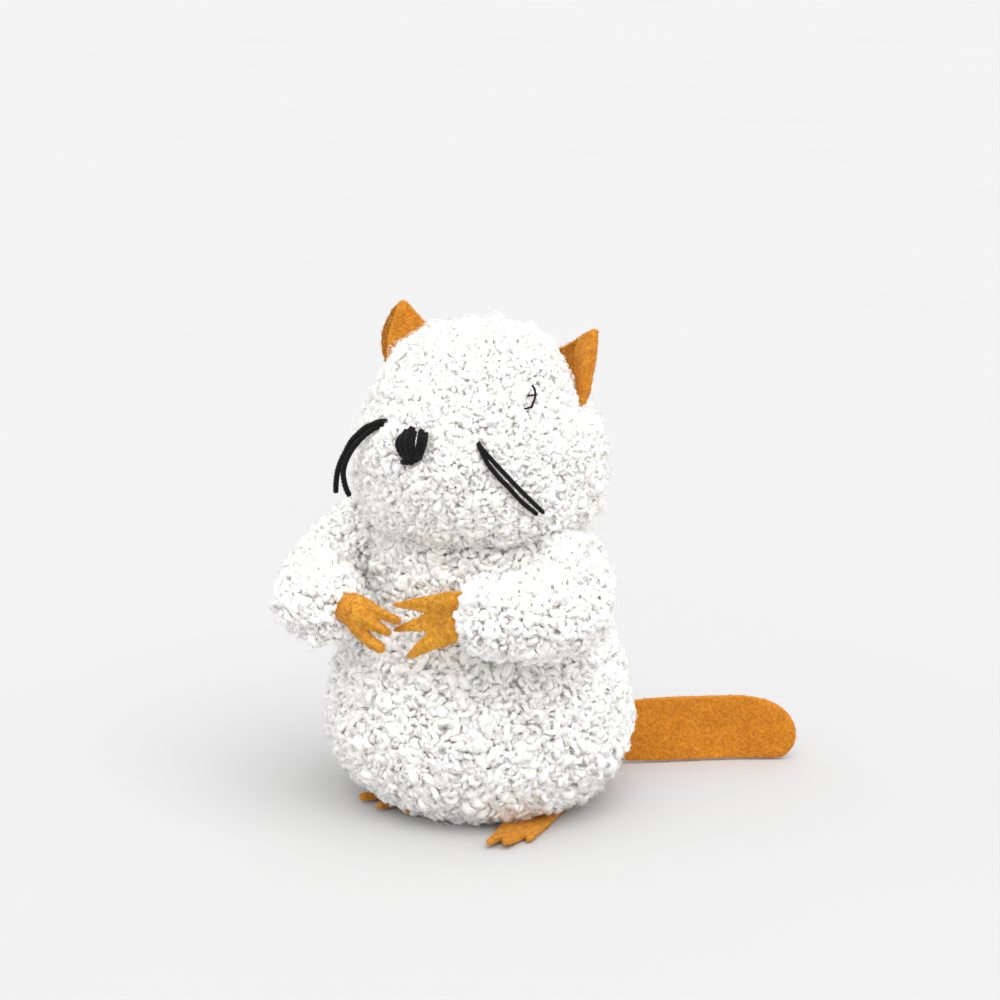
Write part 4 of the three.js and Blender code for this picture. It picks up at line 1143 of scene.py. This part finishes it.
# ------------------------------------------------------------------ yarn
def ply(path, radius, plies, pitch, strand, phase=0.0, taper=None):
    """Paths of the plies of a twisted yarn along a path (s, 3)."""
    tan = unit(np.gradient(path, axis=0))
    ref = np.array([0.0, 0, 1]) if abs(tan[0, 2]) < 0.8 else np.array([1.0, 0, 0])
    n = unit(np.cross(tan[0], ref))
    frames = []
    for t in tan:
        n = unit(n - (n @ t) * t)
        frames.append((n, np.cross(t, n)))
    d = np.concatenate([[0], np.cumsum(np.linalg.norm(np.diff(path, axis=0), axis=1))])
    out = []
    for k in range(plies):
        a = 2 * np.pi * (d / pitch + k / plies) + phase
        r = radius if taper is None else radius * taper
        out.append(np.array([p + (f[0] * np.cos(x) + f[1] * np.sin(x)) * rr for p, f, x, rr in zip(path, frames, a, np.broadcast_to(r, len(path)))]))
    return np.array(out)


def yarn_fuzz(name, paths, count, rng, spread_r, length=1.1, steps=5):
    """Short black fibres that stand off the yarn."""
    n, s, _ = paths.shape
    i, j = rng.integers(0, n, count), rng.integers(1, s - 1, count)
    P = paths[i, j]
    D = unit(rng.normal(0, 1, (count, 3)))
    T = unit(paths[i, j + 1] - paths[i, j - 1])
    D = unit(D - (D * T).sum(-1, keepdims=True) * T)
    u = np.linspace(0, 1, steps)[None, :, None]
    L = length * rng.uniform(0.4, 1.3, (count, 1, 1))
    side = unit(rng.normal(0, 1, (count, 1, 3)))
    path = P[:, None] + D[:, None] * (spread_r + L * 0.45 * u) + T[:, None] * L * u * rng.choice([-1, 1], (count, 1, 1)) + side * L * 0.3 * u * u
    rad = np.full((count, steps), 0.035)
    rad[:, -1] *= 0.4
    return tubes(name, path, rad, 3, [YARN_FIBRE])


WHISKERS = {
    "upper": dict(inside=[(9, -25, 98.4), (0, -24, 99), (-7, -26, 100.5)],
                  left=[(13.2, -26.5, 98.7), (15.1, -28.4, 98.1), (18.1, -28.0, 94.9), (20.4, -26.3, 91.7), (22.4, -24.1, 88.4), (24.5, -21.4, 84.9), (26.8, -18.0, 80.9)],
                  right=[(-11.3, -29.6, 101.6), (-12.7, -29.6, 101.0), (-15.2, -29.6, 99.8), (-17.4, -29.2, 98.1), (-19.9, -28.9, 95.6),
                         (-21.9, -28.5, 92.4), (-23.5, -28.2, 89.7), (-24.5, -27.9, 86.9), (-25.1, -27.5, 84.3), (-25.4, -27.1, 82.0)]),
    "lower": dict(inside=[(9, -25, 96.4), (0, -24, 96.6), (-7, -26, 98.4)],
                  left=[(13.5, -26.6, 97.9), (15.4, -28.6, 97.3), (17.2, -28.8, 94.4), (19.0, -27.5, 91.3), (21.0, -25.3, 88.1), (23.2, -22.5, 84.2), (25.6, -19.1, 80.6)],
                  right=[(-11.9, -29.6, 100.2), (-14.1, -29.6, 99.0), (-16.4, -29.6, 97.1), (-18.8, -29.2, 94.7), (-20.8, -28.9, 91.9), (-22.1, -28.5, 89.3),
                         (-22.6, -28.2, 87.2), (-22.5, -27.9, 85.2), (-22.2, -27.5, 83.3), (-21.5, -27.1, 81.6)]),
}
for name, w in WHISKERS.items():
    route = catmull(w["left"][::-1] + w["inside"] + w["right"], 260)
    full = np.interp(np.linspace(0, 1, 260), [0, 0.45, 0.7, 1], [1.0, 1.0, 1.22, 1.22])
    plies = ply(route, 0.29, 3, 2.7, 0.32, 0.6 if name == "upper" else 2.2, full)
    r = np.broadcast_to(0.33 * full, plies.shape[:2]).copy()
    r[:, :3] *= np.array([0.6, 0.85, 1.0])
    r[:, -3:] *= np.array([1.0, 0.85, 0.6])
    ob = tubes("whisker_" + name, plies, r, 8, [YARN])
    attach(ob, "head")
    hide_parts("whisker_yarn_" + name)
    fz = yarn_fuzz("whisker_" + name + "_fuzz", plies, 240, rng, 0.26)
    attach(fz, "head")

NOSE_STITCHES = [
    [(-1.8, -35.6, 100.2), (-1.9, -37.4, 98.8), (-0.9, -37.7, 96.7), (0.5, -35.8, 94.3)],
    [(-0.4, -35.6, 101.7), (-0.6, -37.9, 99.5), (0.2, -38.2, 97.0), (0.9, -35.9, 94.1)],
    [(0.9, -35.6, 102.4), (0.9, -38.1, 99.9), (1.4, -38.3, 97.1), (1.3, -36.0, 94.2)],
    [(1.5, -35.8, 101.4), (2.0, -37.8, 99.7), (2.2, -38.1, 97.2), (1.7, -36.0, 94.5)],
    [(3.4, -35.6, 101.9), (4.1, -37.6, 100.0), (3.7, -37.9, 97.6), (2.0, -35.9, 94.9)],
    [(4.2, -35.3, 101.2), (4.9, -37.1, 99.6), (4.3, -37.5, 97.5), (2.5, -35.6, 95.2)],
    [(1.3, -36.0, 94.9), (0.8, -37.3, 94.4), (-0.4, -37.2, 94.2), (-1.6, -36.0, 94.0)],
]
parts = []
for i, s in enumerate(NOSE_STITCHES):
    path = catmull(s, 36)
    k = 0.72 if i == 6 else 1.0
    parts.append((ply(path, 0.36 * k, 3, 3.2, 0.5, i * 1.1), 0.52 * k))
allp = np.concatenate([p for p, _ in parts])
allr = np.concatenate([np.full(p.shape[:2], r) for p, r in parts])
ob = tubes("nose_stitches", allp, allr, 8, [YARN])
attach(ob, "head")
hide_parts("nose")
fz = yarn_fuzz("nose_fuzz", allp, 260, rng, 0.4, 0.9)
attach(fz, "head")

for side, arc in EYE_ARCS.items():
    s = 1 if side == "left" else -1
    stitches = [catmull(arc, 30)]
    stitches.append(catmull([(s * 21.5, -12.6, 108.1), (s * 20.4, -14.0, 108.2), (s * 19.0, -14.9, 108.5), (s * 17.8, -15.2, 108.7)], 30))
    stitches.append(catmull([(s * 21.9, -14.4, 105.7), (s * 21.0, -15.8, 105.4), (s * 20.0, -16.3, 105.5), (s * 18.8, -16.6, 105.7)], 30))
    if side == "right":
        stitches[1:] = [p * [0.95, 0.95, 1] + [0, -0.4, -0.2] for p in stitches[1:]]
    stitches[1:] = [p - unit(p - [0, 0, 97]) * np.linspace(0, 1.0, 30)[:, None] for p in stitches[1:]]
    pl = np.concatenate([ply(p, 0.14, 2, 1.3, 0.17, i) for i, p in enumerate(stitches)])
    r = np.full(pl.shape[:2], 0.18)
    r[2:] = 0.14
    r[:, 0] *= 0.5
    r[:, -1] *= 0.5
    ob = tubes("eye_" + side + "_stitch", pl, r, 6, [YARN])
    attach(ob, "head")
    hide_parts("eye_" + side)


# ------------------------------------------------------------------ base pad, stuffing
def base_pad():
    A, B = 96, 26
    th = 2 * np.pi * np.arange(A) / A
    rr = np.linspace(0, 1, B) ** 0.8
    top, bot = [], []
    x = np.outer(np.cos(th), rr) * 21.0
    y = np.outer(np.sin(th), rr) * 20.0 - 1
    pts = np.stack([x.ravel(), y.ravel()], 1)
    lift = np.zeros(len(pts))
    for f in FEET.values():
        u = unit(np.array(f["u"]))[:2]
        v = np.array([-u[1], u[0]])
        rel = pts - np.array(f["at"])[:2]
        a, b = rel @ u, rel @ v
        d = np.maximum(np.maximum(-8.5 - a, a - 40), np.abs(b - 0.5) - 7.5)
        lift = np.maximum(lift, np.clip(1 - (d - 0.0) / 1.6, 0, 1))
    lift = lift.reshape(A, B)
    edge = 1 - np.sqrt(np.clip(1 - np.clip((rr - 0.9) / 0.1, 0, 1) ** 2, 0, 1))
    zb = 0.06 + 2.0 * lift + 1.6 * edge[None] + 0.05 * np.sin(x * 0.9) * np.cos(y * 0.8)
    zt = 4.4 - 1.4 * edge[None] + 0 * x
    verts = np.concatenate([np.stack([x, y, zb], -1).reshape(-1, 3), np.stack([x, y, zt], -1).reshape(-1, 3)])
    i, j = np.meshgrid(np.arange(A), np.arange(B - 1), indexing="ij")
    k = (i + 1) % A
    q = np.stack([i * B + j, i * B + j + 1, k * B + j + 1, k * B + j], -1).reshape(-1, 4)
    q2 = q[:, ::-1] + A * B
    ii = np.arange(A)
    kk = (ii + 1) % A
    rim = np.stack([ii * B + B - 1, ii * B + B - 1 + A * B, kk * B + B - 1 + A * B, kk * B + B - 1], -1)
    ob = new_mesh("base_pad", verts, [np.concatenate([q, q2, rim])], [LINING])
    bm = bmesh.new()
    bm.from_mesh(ob.data)
    bmesh.ops.remove_doubles(bm, verts=bm.verts, dist=1e-6)
    bmesh.ops.recalc_face_normals(bm, faces=bm.faces)
    bm.to_mesh(ob.data)
    bm.free()
    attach(ob, "torso")
    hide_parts("base_panel")


base_pad()


def stuffing(node_name, body, voxel=1.1):
    """A wad of fibre fill in the shape of its CAD solid, drawn in and lumpy."""
    src = NODES[node_name]
    ob = bpy.data.objects.new(node_name.replace("stuffing", "fill"), src.data.copy())
    scene.collection.objects.link(ob)
    for k in list(ob.keys()):
        del ob[k]
    remeshed(ob, voxel, 3, 0.5)
    v, n = coords(ob), vertex_normals(ob)
    set_coords(ob, v - n * (1.3 + 0.6 * field(v, 5.0, 61) + 0.3 * field(v, 2.0, 67))[:, None])
    set_material(ob, FILL)
    for p in ob.data.polygons:
        p.use_smooth = True
    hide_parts(node_name)
    if isinstance(body, tuple):
        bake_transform(ob)
    else:
        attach(ob, body)


stuffing("torso_stuffing_front", "torso")
stuffing("torso_stuffing_back", "torso")
stuffing("head_stuffing", "head")
for s in ARMS:
    st, en = (tuple(v * MM) for v in SHOULDER[s])
    stuffing("arm_stuffing_" + s, ("torso", "arm_" + s, st, en), 0.8)

# ------------------------------------------------------------------ sound module, CAD solids with finished materials
CASE = plain_detail("case_plastic", (0.80, 0.80, 0.78), 0.42, 1400, 0.00005, 0.3, spread=0.05)
BUTTON = plain_detail("button_plastic", (0.62, 0.05, 0.035), 0.28, 900, 0.00003, 0.2, spread=0.12)
BLACK = plain_detail("black_plastic", (0.012, 0.012, 0.013), 0.5, 1600, 0.00006, 0.4, spread=0.4)
STEEL = plain_detail("cell_steel", (0.70, 0.71, 0.73), 0.26, 700, 0.00003, 0.25, metallic=1.0, spread=0.1)
BRASS = plain_detail("contact_brass", (0.79, 0.56, 0.22), 0.32, 800, 0.00003, 0.25, metallic=1.0, spread=0.15)
RED = plain_detail("lead_red", (0.5, 0.03, 0.02), 0.4, 1500, 0.00004, 0.3)
LEAD = plain_detail("lead_black", (0.015, 0.015, 0.016), 0.4, 1500, 0.00004, 0.3)


def board_material():
    m, nt, p = material("board_mask", Roughness=0.35, Coat_Weight=0.3)
    vec = object_coords(nt)
    b = node(nt, "ShaderNodeTexBrick", in_Scale=520, in_Mortar_Size=0.06)
    b.offset = 0.37
    b.inputs["Color1"].default_value = (0.015, 0.16, 0.05, 1)
    b.inputs["Color2"].default_value = (0.02, 0.2, 0.065, 1)
    b.inputs["Mortar"].default_value = (0.05, 0.3, 0.11, 1)
    nt.links.new(vec, b.inputs["Vector"])
    nt.links.new(b.outputs["Color"], p.inputs["Base Color"])
    bump(nt, p, b.outputs["Fac"], 0.3, 0.00004)
    return m


BOARD = board_material()
for names, mat in (
    (("case_front", "case_back"), CASE), (("button_cap",), BUTTON), (("circuit_board",), BOARD), (("switch_body", "chip_blob"), BLACK),
    (("button_cell_1", "button_cell_2", "button_cell_3", "case_screw_1", "case_screw_2", "case_screw_3", "switch_plunger"), STEEL),
    (("contact_strip_upper", "contact_strip_lower", "piezo_disc"), BRASS), (("lead_red",), RED), (("lead_black",), LEAD),
):
    for n in names:
        ob = NODES[n]
        if not ob.material_slots:
            ob.data.materials.append(mat)
        for s in ob.material_slots:
            s.material = mat


# ------------------------------------------------------------------ floor and light
def studio():
    m, nt, p = material("floor_paper", Roughness=0.9, Specular_IOR_Level=0.1)
    vec = object_coords(nt)
    n = noise_tex(nt, vec, 6, 3, 0.5)
    nt.links.new(ramp(nt, n.outputs["Fac"], [(0.3, (0.565, 0.565, 0.567)), (0.7, (0.575, 0.575, 0.577))]), p.inputs["Base Color"])
    bpy.ops.mesh.primitive_plane_add(size=40, location=(0, 0, 0))
    floor = bpy.context.object
    floor.name = "floor"
    floor.data.materials.append(m)

    world = bpy.data.worlds.new("world")
    scene.world = world
    world.use_nodes = True
    bg = world.node_tree.nodes["Background"]
    bg.inputs["Color"].default_value = (1.0, 1.0, 1.0, 1)
    bg.inputs["Strength"].default_value = 0.98

    def sun(name, towards, angle, strength, colour=(1, 1, 1)):
        d = bpy.data.lights.new(name, "SUN")
        d.angle, d.energy, d.color = math.radians(angle), strength, colour
        ob = bpy.data.objects.new(name, d)
        ob.rotation_mode = "QUATERNION"
        ob.rotation_quaternion = Vector(towards).to_track_quat("Z", "Y")
        scene.collection.objects.link(ob)

    sun("key", (0.55, -0.42, 1.3), 60, 1.9)
    sun("fill", (-0.6, -0.9, 0.9), 60, 0.3)


studio()
scene.view_settings.view_transform = "Standard"
scene.view_settings.look = "None"
scene.view_settings.exposure = 0
scene.view_settings.gamma = 1
scene.cycles.max_bounces = 20
scene.cycles.diffuse_bounces = 14
